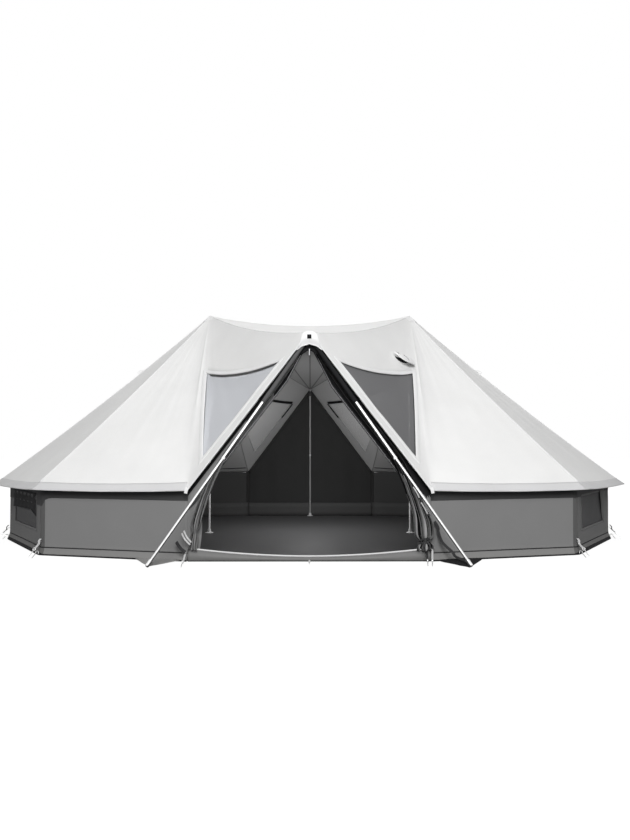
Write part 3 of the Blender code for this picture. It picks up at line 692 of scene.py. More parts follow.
def panel_point(side, panel, shares, lift=0.0):
    """Points of a tensioned roof panel from their shares of its corners, lifted off it."""
    keys = PANELS[panel]
    flat = shares @ np.array([corner(key, side) for key in keys])
    peak, second, third = np.clip(shares.T, 0, 1)
    shift = np.zeros_like(flat)
    for key, near, away in ((keys[1], second, third), (keys[2], third, second)):
        t = near / np.maximum(peak + near, 1e-9)
        arch = 4 * t * (1 - t)
        shift += (arch * (1 - away) ** 2)[:, None] * seam_shift(side, key)
        if key.startswith("eave"):
            start = corner("peak", side)
            run = unit(corner(key, side) - start)
            off = flat - start
            gap = np.linalg.norm(off - (off @ run)[:, None] * run, axis=1)
            fill = 0.30 * (np.sqrt(gap ** 2 + CREASE_RADIUS ** 2) - gap) * arch * (1 - away) ** 2
            shift += fill[:, None] * seam_normal(side, key)
    fan = third / np.maximum(second + third, 1e-9)
    if panel in EAVE_SAG:
        shift[:, 2] -= EAVE_SAG[panel] * 4 * fan * (1 - fan) * (1 - peak) ** 5
    mask = np.sqrt(np.clip(27 * peak * second * third, 0, 1))
    seed = 7 * list(PANELS).index(panel) + (0 if side == LEFT else 3)
    pulls = waves(np.column_stack((fan * 9, (1 - peak) * 0.8, np.zeros(len(fan)))), seed, 1.1)
    hollow = mask * (-0.012 + 0.0045 * waves(flat, seed + 1, 0.9) + 0.0022 * pulls
                     + 0.0012 * waves(flat, seed + 2, 0.28))
    return flat + shift + (hollow + lift)[:, None] * panel_normal(side, panel)


def flat_point(side, panel, flat, lift=0.0):
    """Points of a tensioned roof panel over points in its plane."""
    return panel_point(side, panel, shares_of(side, panel, flat), lift)


def top_point(end, share, t, lift=0.0):
    """Points of a top sheet: share along the ridge, t from the apex (0) to the ridge (1)."""
    apex, peak = corner(f"apex_{end}", RIGHT), corner("peak", RIGHT)
    ridge = np.column_stack((2 * peak[0] * (share - 0.5), np.zeros_like(share),
                             peak[2] - RIDGE_SAG * 4 * share * (1 - share)))
    flat = apex + t[:, None] * (ridge - apex)
    drop = SEAM_SAG[f"apex_{end}"] * 4 * t * (1 - t) * (1 - 0.45 * np.sin(math.pi * share))
    mask = np.sqrt(np.clip(16 * share * (1 - share) * t * (1 - t), 0, 1))
    ripple = 0.003 * mask * waves(flat, 91 if end == "front" else 92, 0.6)
    flat[:, 2] += ripple - drop + lift
    return flat


def gable_frame(end, side):
    """Apex, unit vector down the gable edge and unit vector in from it, in the panel's plane."""
    apex, eave, peak = (corner(key, side) for key in (f"apex_{end}", f"eave_{end}", "peak"))
    along, inward = unit(eave - apex), peak - apex
    return apex, along, unit(inward - inward @ along * along)


def gable_flat(end, side, along, inward):
    """Flat points of a gable panel from distances along its edge and in from it."""
    apex, edge, cross = gable_frame(end, side)
    along, inward = np.broadcast_arrays(along, inward)
    return apex + along[:, None] * edge + inward[:, None] * cross


def gable_point(end, side, along, inward, lift=0.0):
    """Points of the tensioned gable panel."""
    return flat_point(side, f"gable_{end}", gable_flat(end, side, along, inward), lift)


def window_edge(end, t, grow=0.0):
    """Distances along and in for points round a roof window's hole: t runs 0 to 3 over its edges."""
    spots = np.array(WINDOWS[end])
    edge = np.clip(t.astype(int), 0, 2)
    part = t - edge
    start, stop = spots[edge], spots[(edge + 1) % 3]
    run = unit(stop - start)
    out = np.column_stack((run[:, 1], -run[:, 0]))
    out *= np.sign(np.sum(out * (start - spots.mean(0)), axis=1))[:, None]
    sag = np.array(WINDOW_SAG)[edge] * 4 * part * (1 - part)
    spot = start + part[:, None] * (stop - start) - sag[:, None] * out
    if grow:
        step = []
        for k in range(3):
            to_last, to_next = unit(spots[k - 1] - spots[k]), unit(spots[(k + 1) % 3] - spots[k])
            angle = math.acos(float(np.clip(to_last @ to_next, -1, 1))) / 2
            step.append(-unit(to_last + to_next) * grow / math.sin(angle))
        step = np.array(step)
        spot = spot + (1 - part)[:, None] * step[edge] + part[:, None] * step[(edge + 1) % 3]
    return spot[:, 0], spot[:, 1]


def rim_line(end, side, t, grow, lift):
    """Points round a roof window, a distance out from its hole and lifted off the canvas."""
    return gable_point(end, side, *window_edge(end, np.minimum(t, 3 - NEAR_END), grow), lift)


def add_panel(cloth, side, panel, points, shape):
    """Adds a grid of a roof panel, its UV in metres: u level, v up the slope."""
    normal = panel_normal(side, panel)
    level = unit(np.cross((0, 0, 1), normal))
    spots = np.stack((points @ level, points @ np.cross(normal, level)), axis=-1)
    cloth.grid(points.reshape(*shape, 3), spots.reshape(*shape, 2))


def build_canopy():
    """The whole roof as one tensioned sheet, with its four window openings."""
    cloth = Cloth()
    rows = np.linspace(0, 1, PANEL_ROWS + 1)
    for side in SIDES:
        for panel, columns in PANEL_COLUMNS.items():
            v, u = np.meshgrid(rows, np.linspace(0, 1, columns + 1), indexing="ij")
            shares = np.stack((1 - v, v * (1 - u), v * u), axis=2).reshape(-1, 3)
            add_panel(cloth, side, panel, panel_point(side, panel, shares), v.shape)
        for end in ENDS:
            ring_grid(cloth, end, side, rows)
    for end in ENDS:
        t, share = np.meshgrid(rows, np.linspace(0, 1, TOP_COLUMNS + 1), indexing="ij")
        points = top_point(end, share.ravel(), t.ravel())
        cloth.grid(points.reshape(*t.shape, 3), points[:, :2].reshape(*t.shape, 2))
    roof = cloth.build("canopy", [ROOF_CANVAS, ROOF_LINING_SHADED], up_and_out, CANVAS)
    roof.modifiers["thickness"].material_offset = 1
    return roof


def ring_grid(cloth, end, side, t):
    """The part of a gable panel round its window: three strips from its outer edges to the hole."""
    panel = f"gable_{end}"
    outer = [corner(key, side) for key in (f"apex_{end}", "peak", f"eave_{end}")]
    r = np.linspace(0, 1, RING_COLUMNS + 1)
    for k in range(3):
        rim = outer[k] + t[:, None] * (outer[(k + 1) % 3] - outer[k])
        hole = gable_flat(end, side, *window_edge(end, np.minimum(k + t, k + 1 - NEAR_END)))
        flat = rim[None] + r[:, None, None] * (hole - rim)[None]
        add_panel(cloth, side, panel, flat_point(side, panel, flat.reshape(-1, 3)), flat.shape[:2])


def near_seam(side, panel, key, t, width, lift):
    """Points beside the seam from the peak to a corner, a width into the given panel."""
    start, end = corner("peak", side), corner(key, side)
    run = unit(end - start)
    middle = np.mean([corner(name, side) for name in PANELS[panel]], axis=0) - start
    inward = unit(middle - middle @ run * run)
    return flat_point(side, panel, start + t[:, None] * (end - start) + width * inward, lift)


def near_eave(side, panel, t, width, lift):
    """Points a width up from a panel's eave, t from its first eave corner to its second."""
    peak, first, second = (corner(key, side) for key in PANELS[panel])
    run, rise = unit(second - first), peak - first
    line = first + t[:, None] * (second - first)
    share = width / abs(rise @ unit(rise - rise @ run * run))
    return flat_point(side, panel, line + share * (peak - line), lift)


def stitch_tree():
    """Geometry Nodes: short thread loops set along edges at an even pitch, lying along them."""
    tree = bpy.data.node_groups.new("stitch rows", "GeometryNodeTree")
    kinds = {"Geometry": "Geometry", "Pitch": "Float", "Length": "Float", "Thread radius": "Float",
             "Thread finish": "Material"}
    sockets = {label: tree.interface.new_socket(label, in_out="INPUT", socket_type=f"NodeSocket{kind}").identifier
               for label, kind in kinds.items()}
    tree.interface.new_socket("Geometry", in_out="OUTPUT", socket_type="NodeSocketGeometry")
    source, result, curve, even, tangent, turn, loop, spots, real, paint = (tree.nodes.new(kind) for kind in (
        "NodeGroupInput", "NodeGroupOutput", "GeometryNodeMeshToCurve", "GeometryNodeResampleCurve",
        "GeometryNodeInputTangent", "FunctionNodeAlignRotationToVector", "GeometryNodeMeshCylinder",
        "GeometryNodeInstanceOnPoints", "GeometryNodeRealizeInstances", "GeometryNodeSetMaterial"))
    even.mode, turn.axis, loop.fill_type = "LENGTH", "Z", "TRIANGLE_FAN"
    loop.inputs["Vertices"].default_value = 5
    for start, out, end, into in (
            (source, "Geometry", curve, "Mesh"), (curve, 0, even, "Curve"), (source, "Pitch", even, "Length"),
            (tangent, 0, turn, "Vector"), (source, "Length", loop, "Depth"),
            (source, "Thread radius", loop, "Radius"), (even, 0, spots, "Points"), (loop, "Mesh", spots, "Instance"),
            (turn, 0, spots, "Rotation"), (spots, 0, real, 0), (real, 0, paint, "Geometry"),
            (source, "Thread finish", paint, "Material"), (paint, 0, result, 0)):
        tree.links.new(start.outputs[out], end.inputs[into])
    return tree, sockets


def stitches(name, lines, finish, pitch=0.009, length=0.006, thread=0.0008):
    """Rows of stitches along lines of points, as a plain mesh."""
    mesh = bpy.data.meshes.new(name)
    points, edges = [], []
    for line in lines:
        base = len(points)
        points.extend(np.asarray(line).tolist())
        edges.extend((base + k, base + k + 1) for k in range(len(line) - 1))
    mesh.from_pydata(points, edges, [])
    holder = linked(name, mesh)
    modifier = holder.modifiers.new("stitches", "NODES")
    modifier.node_group, sockets = STITCH_TREE
    for label, value in (("Pitch", pitch), ("Length", length), ("Thread radius", thread), ("Thread finish", finish)):
        modifier[sockets[label]] = value
    bpy.context.view_layer.update()
    made = bpy.data.meshes.new_from_object(holder.evaluated_get(bpy.context.evaluated_depsgraph_get()))
    holder.modifiers.clear()
    holder.data = made
    bpy.data.meshes.remove(mesh)
    return holder


def zip_teeth(line, pitch=0.004):
    """A row of zip teeth along a line."""
    return stitches("part", [line], ZIP_TEETH, pitch, 0.0026, 0.0022)


def seen_ray(tree):
    """1 where a camera, glossy or transmission ray looks, else 0."""
    ray = tree.nodes.new("ShaderNodeLightPath").outputs
    seen = maths(tree, "MAXIMUM", ray["Is Camera Ray"], ray["Is Glossy Ray"])
    return maths(tree, "MAXIMUM", seen, ray["Is Transmission Ray"])


def build_stage():
    """Pale floor, white surroundings, soft light and the camera."""
    mesh = bpy.data.meshes.new("studio_floor")
    mesh.from_pydata([(x * FLOOR_HALF, y * FLOOR_HALF, FLOOR_LEVEL) for x, y in ((-1, -1), (1, -1), (1, 1), (-1, 1))],
                     [], [(0, 1, 2, 3)])
    finish, tree, shader = new_finish("studio floor")
    reach = tree.nodes.new("ShaderNodeVectorMath")
    reach.operation = "LENGTH"
    tree.links.new(object_spots(tree), reach.inputs[0])
    glow = remap(tree, reach.outputs["Value"], *FLOOR_GLOW)
    for label, value in (("Base Color", tone(0.22)), ("Roughness", 0.9), ("Specular IOR Level", 0.0),
                         ("Emission Strength", maths(tree, "MULTIPLY", seen_ray(tree), glow)),
                         ("Emission Color", tone(1.0))):
        feed(tree, shader[label], value)
    mesh.materials.append(finish)
    linked("studio_floor", mesh)

    world = bpy.data.worlds.new("studio")
    world.use_nodes = True
    bpy.context.scene.world = world
    tree = world.node_tree
    back = tree.nodes["Background"].inputs
    back["Color"].default_value = tone(1.0)
    tree.links.new(remap(tree, seen_ray(tree), 0.0, 1.0, SKY_LIGHT, 1.0), back["Strength"])

    for name, kind, spot, aim, size, power in LAMPS:
        data = bpy.data.lights.new(name, kind)
        if kind == "AREA":
            data.shape, data.size = "DISK", size
        else:
            data.shadow_soft_size = size / 2
        data.energy = power
        lamp = linked(name, data)
        lamp.location = spot
        lamp.rotation_euler = (Vector(aim) - Vector(spot)).to_track_quat("-Z", "Y").to_euler()
        lamp.visible_camera = False

    data = bpy.data.cameras.new("photo_view")
    data.sensor_width, data.lens = CAMERA_SENSOR, CAMERA_LENS
    camera = linked("photo_view", data)
    camera.location = CAMERA_PLACE
    camera.rotation_euler = (math.radians(CAMERA_TILT), 0.0, math.radians(CAMERA_TURN))
    bpy.context.scene.camera = camera
    bpy.context.scene.view_settings.view_transform = "Standard"


def build_roof():
    """Canopy with its seams and valance."""
    roof = build_canopy()
    place(roof, "tent", ["roof_top_front", "roof_top_rear"]
          + [f"roof_{panel}_{hand}" for panel in PANELS for hand in HANDS.values()])
    rows, tapes, valances = [], [], []
    t = np.linspace(0.012, 0.995, 90)
    for side in SIDES:
        for key in ("corner_front", "tip_front", "tip_rear", "corner_rear"):
            pair = panels_at(key)
            lines = [near_seam(side, pair[k], key, t, width, 0.0004)
                     for k, width in ((0, 0.013), (0, 0.001), (1, 0.001), (1, 0.013))]
            tapes.append(strip(lines, SEAM_TAPE, up_and_out))
            rows += [near_seam(side, panel, key, t, 0.009, 0.0020) for panel in pair]
    roof_trim(joined("hip_tapes", tapes))
    t = np.linspace(0, 1, 60)
    for side in SIDES:
        for panel in EAVE_SAG:
            lines = [near_eave(side, panel, t, width, 0.0025 * np.sin(t * 19 + k) * (1 - k / 5) + 0.001)
                     for k, width in enumerate((0.0, 0.008, 0.03, 0.055, 0.08, 0.106))]
            valances.append(strip(lines, VALANCE_CANVAS, up_and_out, 0.0015))
            rows += [near_eave(side, panel, t, 0.102, 0.0032), near_eave(side, panel, t, 0.012, 0.0055)]
    roof_trim(joined("valance", valances))
    roof_trim(stitches("roof_stitching", rows, THREAD, 0.012, 0.008, 0.0009))
    return roof, sheet_area(roof)


def window_sheet(name, end, side, grow, lift, belly, finish, slack=0.0):
    """A sheet over a roof window's hole, behind the canvas, with a slight belly inward."""
    steps = 30
    t = np.linspace(0, 1, steps + 1)
    rim, inner = (np.column_stack(window_edge(end, first + np.minimum(t, 1 - NEAR_END), grow)) for first in (0, 2))
    drop = slack * np.sin(math.pi * t) ** 0.6
    grid, depth = [], []
    for k in range(steps + 1):
        share = k / steps
        grid.append(inner[0] + share * (rim - inner[0]) + np.column_stack((drop * share ** 3, np.zeros_like(drop))))
        depth.append(lift - belly * np.clip(16 * share * (1 - share) * t * (1 - t) * 2, 0, 1))
    grid, depth = np.array(grid), np.array(depth)
    points = gable_point(end, side, grid[..., 0].ravel(), grid[..., 1].ravel(), depth.ravel())
    return sheet_of(name, points.reshape(*grid.shape[:2], 3), finish, up_and_out, 0.0008, 22, spots=grid)


def build_roof_windows():
    """Mesh behind the four roof windows, their hemmed frames, and the left front one's cover."""
    t = np.linspace(0, 3, 181)
    frames, rows = [], []
    for side in SIDES:
        for end in ENDS:
            name = f"{end}_{HANDS[side]}"
            finish = MESH if (end, side) == ("front", RIGHT) else FINE_MESH
            screen = window_sheet(f"roof_mesh_{name}", end, side, 0.018, -0.0035, 0.014, finish)
            place(screen, "tent", [f"roof_window_{name}"])
            hang(screen)
            lines = [rim_line(end, side, t, grow, lift) for grow, lift in (
                (0.001, 0.0004), (0.006, 0.0022), (0.024, 0.0022), (0.042, 0.0022), (0.047, 0.0004))]
            frames.append(strip(lines, FRAME_CANVAS, up_and_out))
            rows += [rim_line(end, side, t, grow, 0.0042) for grow in (0.008, 0.040)]
    roof_trim(joined("roof_window_frames", frames))
    bindings = []
    for side, t, widths, lift in ((LEFT, np.linspace(0.02, 0.97, 50), (0.004, -0.008, -0.026), -0.0045),
                                  (RIGHT, np.linspace(0.0, 1.985, 90), (0.004, -0.004, -0.011), -0.0012)):
        lines = [rim_line("front", side, t, grow, lift) for grow in widths]
        bindings.append(strip(lines, DARK_WEBBING, up_and_out, 0.0010))
    roof_trim(joined("window_bindings", bindings))
    roof_trim(stitches("roof_window_stitching", rows, THREAD))
    cover = window_sheet("window_cover_cloth", "front", LEFT, 0.012, -0.008, 0.020, COVER_CLOTH, slack=0.045)
    place(cover, "window_cover", ["roof_window_cover"])
    hang(cover)


# The walls
def wall_point(side, s, z, lift=0.0):
    """Points of a wall from the distance along its plan and the height, lifted off it."""
    s, z = np.broadcast_arrays(s, np.asarray(z, float))
    stops, plan = WALL_STOPS, np.array(PLAN)
    dense = np.linspace(0, stops[-1], 1401)
    spots = np.column_stack([np.interp(dense, stops, plan[:, k]) for k in (0, 1)])
    reach = 6
    padded = np.concatenate((2 * spots[0] - spots[reach:0:-1], spots, 2 * spots[-1] - spots[-2:-reach - 2:-1]))
    kernel = np.ones(2 * reach + 1) / (2 * reach + 1)
    round_spots = np.column_stack([np.convolve(padded[:, k], kernel, mode="valid") for k in (0, 1)])
    run = unit(np.gradient(round_spots, axis=0))
    at = np.column_stack([np.interp(s, dense, round_spots[:, k]) for k in (0, 1)])
    step = unit(np.column_stack([np.interp(s, dense, run[:, k]) for k in (0, 1)]))
    out = np.column_stack((step[:, 1], -step[:, 0]))
    index = np.clip(np.searchsorted(stops, s, side="right") - 1, 0, len(stops) - 2)
    part = (s - stops[index]) / (stops[index + 1] - stops[index])
    arch = np.sin(math.pi * np.clip(z / WALL_SPAN, 0, 1))
    ripple = 0.0018 * waves(np.column_stack((s * 1.0, z * 0.6, np.full(len(s), side * 3.0))), 41, 0.33)
    reach_out = (ripple - 0.010 * np.sin(math.pi * part)) * arch + MUD_FLARE * np.clip(1 - z / MUD_SEAM, 0, 1) + lift
    at = at + reach_out[:, None] * out
    return np.column_stack((side * at[:, 0], at[:, 1], z))


def wall_columns():
    """Distances along the plan for the wall's columns, with the window's edges among them."""
    start, length = WALL_WINDOW[:2]
    marks = sorted([*WALL_STOPS, WALL_STOPS[1] + start, WALL_STOPS[1] + start + length])
    values = [np.linspace(low, high, max(2, round((high - low) / 0.036)), endpoint=False)
              for low, high in zip(marks, marks[1:])]
    return np.concatenate(values + [marks[-1:]])


def wall_tops(roof_tree, side, s):
    """Height of the roof's underside over each point of the wall."""
    hits = [roof_tree.ray_cast(Vector((x, y, 0.3)), Vector((0, 0, 1)))[0] for x, y, _ in wall_point(side, s, 0.6)]
    return np.array([hit.z - 0.0035 if hit else 0.66 for hit in hits])


def build_walls(roof):
    """The two wall strips round the ends, with mud strips, window openings and top bands."""
    tree = BVHTree.FromObject(roof, bpy.context.evaluated_depsgraph_get())
    s, stops = wall_columns(), WALL_STOPS
    start, length, sill, head = WALL_WINDOW
    spare, corner_shade_reach = 1e-4, 0.035

    def solid(i, j):
        """Whether a cell of the wall lies outside its window."""
        in_rows = i < len(WALL_HEIGHTS) - 1 and WALL_HEIGHTS[i] >= sill - spare and WALL_HEIGHTS[i + 1] <= head + spare
        return not (in_rows and s[j] >= stops[1] + start - spare and s[j + 1] <= stops[1] + start + length + spare)

    for side in SIDES:
        hand = HANDS[side]
        tops = wall_tops(tree, side, s)
        last = WALL_HEIGHTS[-1]
        levels = [np.full(len(s), z) for z in WALL_HEIGHTS]
        levels += [last + (tops - last) * k / WALL_TOP_ROWS for k in range(1, WALL_TOP_ROWS + 1)]
        cloth = Cloth()
        cloth.grid(np.stack([wall_point(side, s, z) for z in levels]),
                   np.stack(np.broadcast_arrays(s[None, :], np.stack(levels)), axis=2), keep=solid)
        # Faces of the end walls take the end canvas, the wall's cloth painted darker as shade there; it reaches 3.5 cm
        # past each corner as painted shade of a fold.
        for n, face in enumerate(cloth.faces):
            middle = s[min(face) % len(s)] + 0.015
            cloth.finishes[n] = 2 if stops[1] - corner_shade_reach < middle < stops[4] + corner_shade_reach else 0
        wall = cloth.build(f"wall_{hand}", [WALL_CANVAS, WALL_LINING, END_SHADED_CANVAS, WALL_LINING], out_level, CANVAS)
        wall.modifiers["thickness"].material_offset = 1
        place(wall, "tent",
              [f"wall_{part}_{hand}" for part in ("front", "end_front", "end_mid", "end_rear", "rear")])
        hang(wall, flat=(float(s[-1]), 0.78), trims=build_wall_trim(side, s, tops))


def build_wall_blind(side):
    """Cloth over part of an end window: a half-drawn blind on the left, a drawn side piece on the right."""
    hand, finish = HANDS[side], DARK_CANVAS if side == LEFT else END_SHADED_CANVAS
    t, knots = np.linspace(0, 1, 30), np.linspace(0, 1, 5)
    low, high = (np.column_stack([np.interp(t, knots, np.array(line)[:, k]) for k in (0, 1)])
                 for line in BLINDS[side][:2])
    lines = []
    for share in np.linspace(0, 1, 14):
        spot = low + share * (high - low)
        ripple = 0.004 + 0.0035 * np.sin(spot[:, 0] * 38 + share * 3) * (1 - share) + 0.0015 * np.sin(share * 14)
        lines.append(wall_point(side, WALL_STOPS[1] + spot[:, 0], spot[:, 1], ripple))
    blind = place(sheet_of(f"wall_blind_{hand}", lines, finish, out_level, 0.0012), "tent")
    hem = tube(lines[0], BLINDS[side][2], finish, name=f"wall_blind_hem_{hand}")
    hang(blind, trims=[place(hem, "tent")])


def build_wall_trim(side, s, tops):
    """Black top band, mud strip seam, corner piping and window mesh of one wall."""
    stops, hand = WALL_STOPS, HANDS[side]
    low = np.full(len(s), BAND_LOW)
    if side == LEFT:
        near = np.clip((s - (stops[1] - 0.11)) / 0.11, 0, 1)
        low -= np.where(s < stops[1] + 1e-6, 0.075 * (1 - np.sqrt(np.clip(1 - near ** 2, 0, 1))), 0.075)
        low[s > stops[2] + 0.02] = BAND_LOW
    ends = smooth_step((s - stops[1] + 0.02) / 0.04) * smooth_step((stops[4] - s + 0.02) / 0.04)
    trims = []
    for name, finish, thickness, lines in (
            ("wall_band", BAND_CANVAS, 0.0014, [(low + (tops - low) * share, lift) for share, lift in (
                (0.0, 0.0002), (0.03, 0.0012), (0.5, 0.0014), (1.0, 0.0008))]),
            ("mud_seam", DARK_CANVAS, 0.0008, ((0.067, 0.0004), (0.069, 0.0020), (0.073, 0.0020), (0.075, 0.0004))),
            ("ground_hem", DARK_CANVAS, 0.0010, [(z + 0.020 * share * ends, lift) for z, share, lift in (
                (0.0015, 0, 0.0004), (0.004, 0.2, 0.0016), (0.010, 0.8, 0.0016), (0.012, 1, 0.0004))])):
        lines = [wall_point(side, s, z, lift) for z, lift in lines]
        item = strip(lines, finish, out_level, thickness, name=f"{name}_{hand}")
        trims.append(place(item, "tent"))
    z = np.linspace(0.078, BAND_LOW if side == RIGHT else 0.50, 30)
    pipes = [tube(wall_point(side, stops[k] + gap, z, 0.0010), 0.0022, END_SHADED_CANVAS, 6)
             for k in range(1, 5) for gap in (-0.035, 0.035)]
    trims.append(place(joined(f"wall_piping_{hand}", pipes), "tent"))
    start, length, sill, head = WALL_WINDOW
    left, right, hem = stops[1] + start, stops[1] + start + length, 0.018
    u = np.linspace(left - hem, right + hem, 30)
    grid = [wall_point(side, u, z, -0.0045) for z in np.linspace(sill - hem, head + hem, 12)]
    screen = sheet_of(f"wall_mesh_{hand}", grid, DARK_MESH, out_level, 0.0008, 22)
    place(screen, "tent", [f"wall_window_{hand}"])
    hang(screen)
    build_wall_blind(side)
    loop = []
    for grow, lift in ((0.001, 0.0004), (0.004, 0.002), (0.018, 0.002), (0.022, 0.0004)):
        box = np.array(((left - grow, sill - grow), (right + grow, sill - grow), (right + grow, head + grow),
                        (left - grow, head + grow), (left - grow, sill - grow)))
        steps = np.linspace(0, 1, 26)[:-1, None]
        line = np.concatenate([a + steps * (b - a) for a, b in zip(box, box[1:])] + [box[:1]])
        loop.append(wall_point(side, line[:, 0], line[:, 1], lift))
    frame = [strip(loop, END_SHADED_CANVAS, out_level, 0.0010)]
    trims.append(place(joined(f"wall_window_frame_{hand}", frame), "tent"))
    rows = [wall_point(side, s, 0.080, 0.0008), wall_point(side, s, low + 0.006, 0.0030), loop[1]]
    trims.append(place(stitches(f"wall_stitching_{hand}", rows, DARK_THREAD), "tent"))
    return trims


# The doorway
def build_front_edges():
    """Hems, piping and end tabs along the canvas edges over the front doorway."""
    hems, rows = [], []
    along = np.linspace(0.035, 1.735, 110)
    taper = np.clip(along / 0.06, 0.3, 1)
    for side in SIDES:
        lines = [gable_point("front", side, along, inward * taper, lift)
                 for inward, lift in ((0.0, 0.0004), (0.002, 0.0024), (0.030, 0.0024), (0.036, 0.0004))]
        hems.append(strip(lines, FRAME_CANVAS, up_and_out, 0.0014))
        edge = gable_point("front", side, along, 0.0)
        hems.append(tube(edge + np.array((0, -0.003, 0.0)), 0.0048, FRAME_CANVAS))
        rows += [gable_point("front", side, along, inward, 0.0045) for inward in (0.007, 0.026)]
        eave = corner("eave_front", side)
        tab = bent([eave + (x * side, y, z)
                    for x, y, z in ((-0.006, -0.004, 0.030), (0.004, -0.007, 0.006), (0.010, -0.006, -0.022))], 12)
        hems.append(webbing(tab, 0.028, (0, -1, 0), FRAME_CANVAS, 0.004))
    roof_trim(joined("front_hems", hems))
    roof_trim(stitches("front_hem_stitching", rows, THREAD, 0.012, 0.008))


def build_apex_cap(roof):
    """White cap over the apex, with its seams and a plain dark patch."""
    tree = BVHTree.FromObject(roof, bpy.context.evaluated_depsgraph_get())
    u = np.sin(np.linspace(-math.pi / 2, math.pi / 2, 49))
    bell = np.array(((0.0, 2.007), (0.030, 2.002), (0.054, 1.990), (0.071, 1.969), (0.080, 1.940),
                     (0.088, 1.905), (0.098, 1.872), (0.110, 1.843)))
    length = run_lengths(bell)
    x = np.interp(np.abs(u) * length[-1], length, bell[:, 0]) * np.sign(u)
    arch = np.interp(np.abs(u) * length[-1], length, bell[:, 1])
    kernel = np.ones(3) / 3
    x[1:-1], arch[1:-1] = np.convolve(x, kernel, "valid"), np.convolve(arch, kernel, "valid")
    under = 1.889 - 0.052 * np.abs(u) ** 0.85
    rows = []
    for y in (-2.035, -2.060, -2.090, -2.125, -2.160, -2.188, -2.215, -2.240):
        blend = float(smooth_step((-2.050 - y) / 0.130))
        across = x * (0.80 + 0.20 * blend)
        hits = [tree.ray_cast(Vector((value, max(y, -2.186), 3.0)), Vector((0, 0, -1)))[0] for value in across]
        top = np.array([hit.z + 0.0030 if hit else 1.85 for hit in hits])
        level = (1 - blend) * top + blend * arch
        rows.append(np.column_stack((across, np.full(len(u), y), np.maximum(level, top) if y > -2.19 else level)))
    for t in np.linspace(0.0, 1.0, 12):
        swell = 0.018 * math.sin(math.pi * min(1, t * 1.05)) + 0.008
        y = -2.243 - swell * (1 - 0.55 * np.abs(u) ** 2)
        z = (arch - 0.004) * (1 - t) + under * t
        rows.append(np.column_stack((x * (1 + 0.02 * math.sin(math.pi * t)), y, z)))
    rows.append(np.column_stack((x * 0.985, rows[-1][:, 1] + 0.003, under + 0.004)))
    grid = np.stack(rows)
    ripple = 0.0014 * waves(grid.reshape(-1, 3), 17, 0.07).reshape(grid.shape[:2])
    grid[..., 1] -= ripple * (np.arange(len(rows)) > 7)[:, None]
    cap = sheet_of("apex_cap_cloth", grid, FRAME_CANVAS, lambda at: Vector((at.x, -1.0, 0.6)), CANVAS, 35)
    trims = []
    for k, keep in ((11, 0.90), (37, 0.90), (24, 1.0)):
        line = grid[2:-2, k] + (0, -0.0008, 0.0010)
        trims.append(tube(line[:int(len(line) * keep)], 0.0017, SEAM_TAPE, 6))
    hem = grid[-2] + (0, -0.002, 0)
    trims.append(tube(hem, 0.0030, FRAME_CANVAS))
    column, spread = grid[8:20, 24], np.linspace(-0.018, 0.018, 5)
    patch = [[(dx - 0.001, np.interp(-1.950 - dz, -column[:, 2], column[:, 1]) - 0.0022, 1.950 + dz)
              for dx in spread] for dz in spread]
    trims.append(sheet_of("part", patch, DARK_CANVAS, FRONTWARD, 0.0014, 22, 1.0))
    trims.append(stitches("part", [hem + (0, -0.0030, 0.009)], THREAD, 0.007, 0.004, 0.0006))
    trim = place(joined("apex_cap_trim", trims), "tent")
    place(cap, "tent", ["apex_cap"])
    hang(cap, (0.36, 0.34), trims=[trim])
    inner = np.linspace(-1, 1, 40)
    lines = [np.column_stack((inner * (0.104 - 0.006 * k), np.full(40, -2.212 + 0.004 * k),
                              1.891 - 0.052 * np.abs(inner) ** 0.85 - 0.011 * k)) for k in range(5)]
    place(strip(lines, DARK_CANVAS, FRONTWARD, 0.0014, 0.0, name="cap_band"), "tent")
    profile = ((0, 0), (0, 0.005), (0.002, 0.0060), (0.055, 0.0060), (0.055, 0))
    place(turned("hub_pin", (0.0, -2.222, 1.794), (0, 0, 1), profile, ZIP_TEETH, 14), "tent")


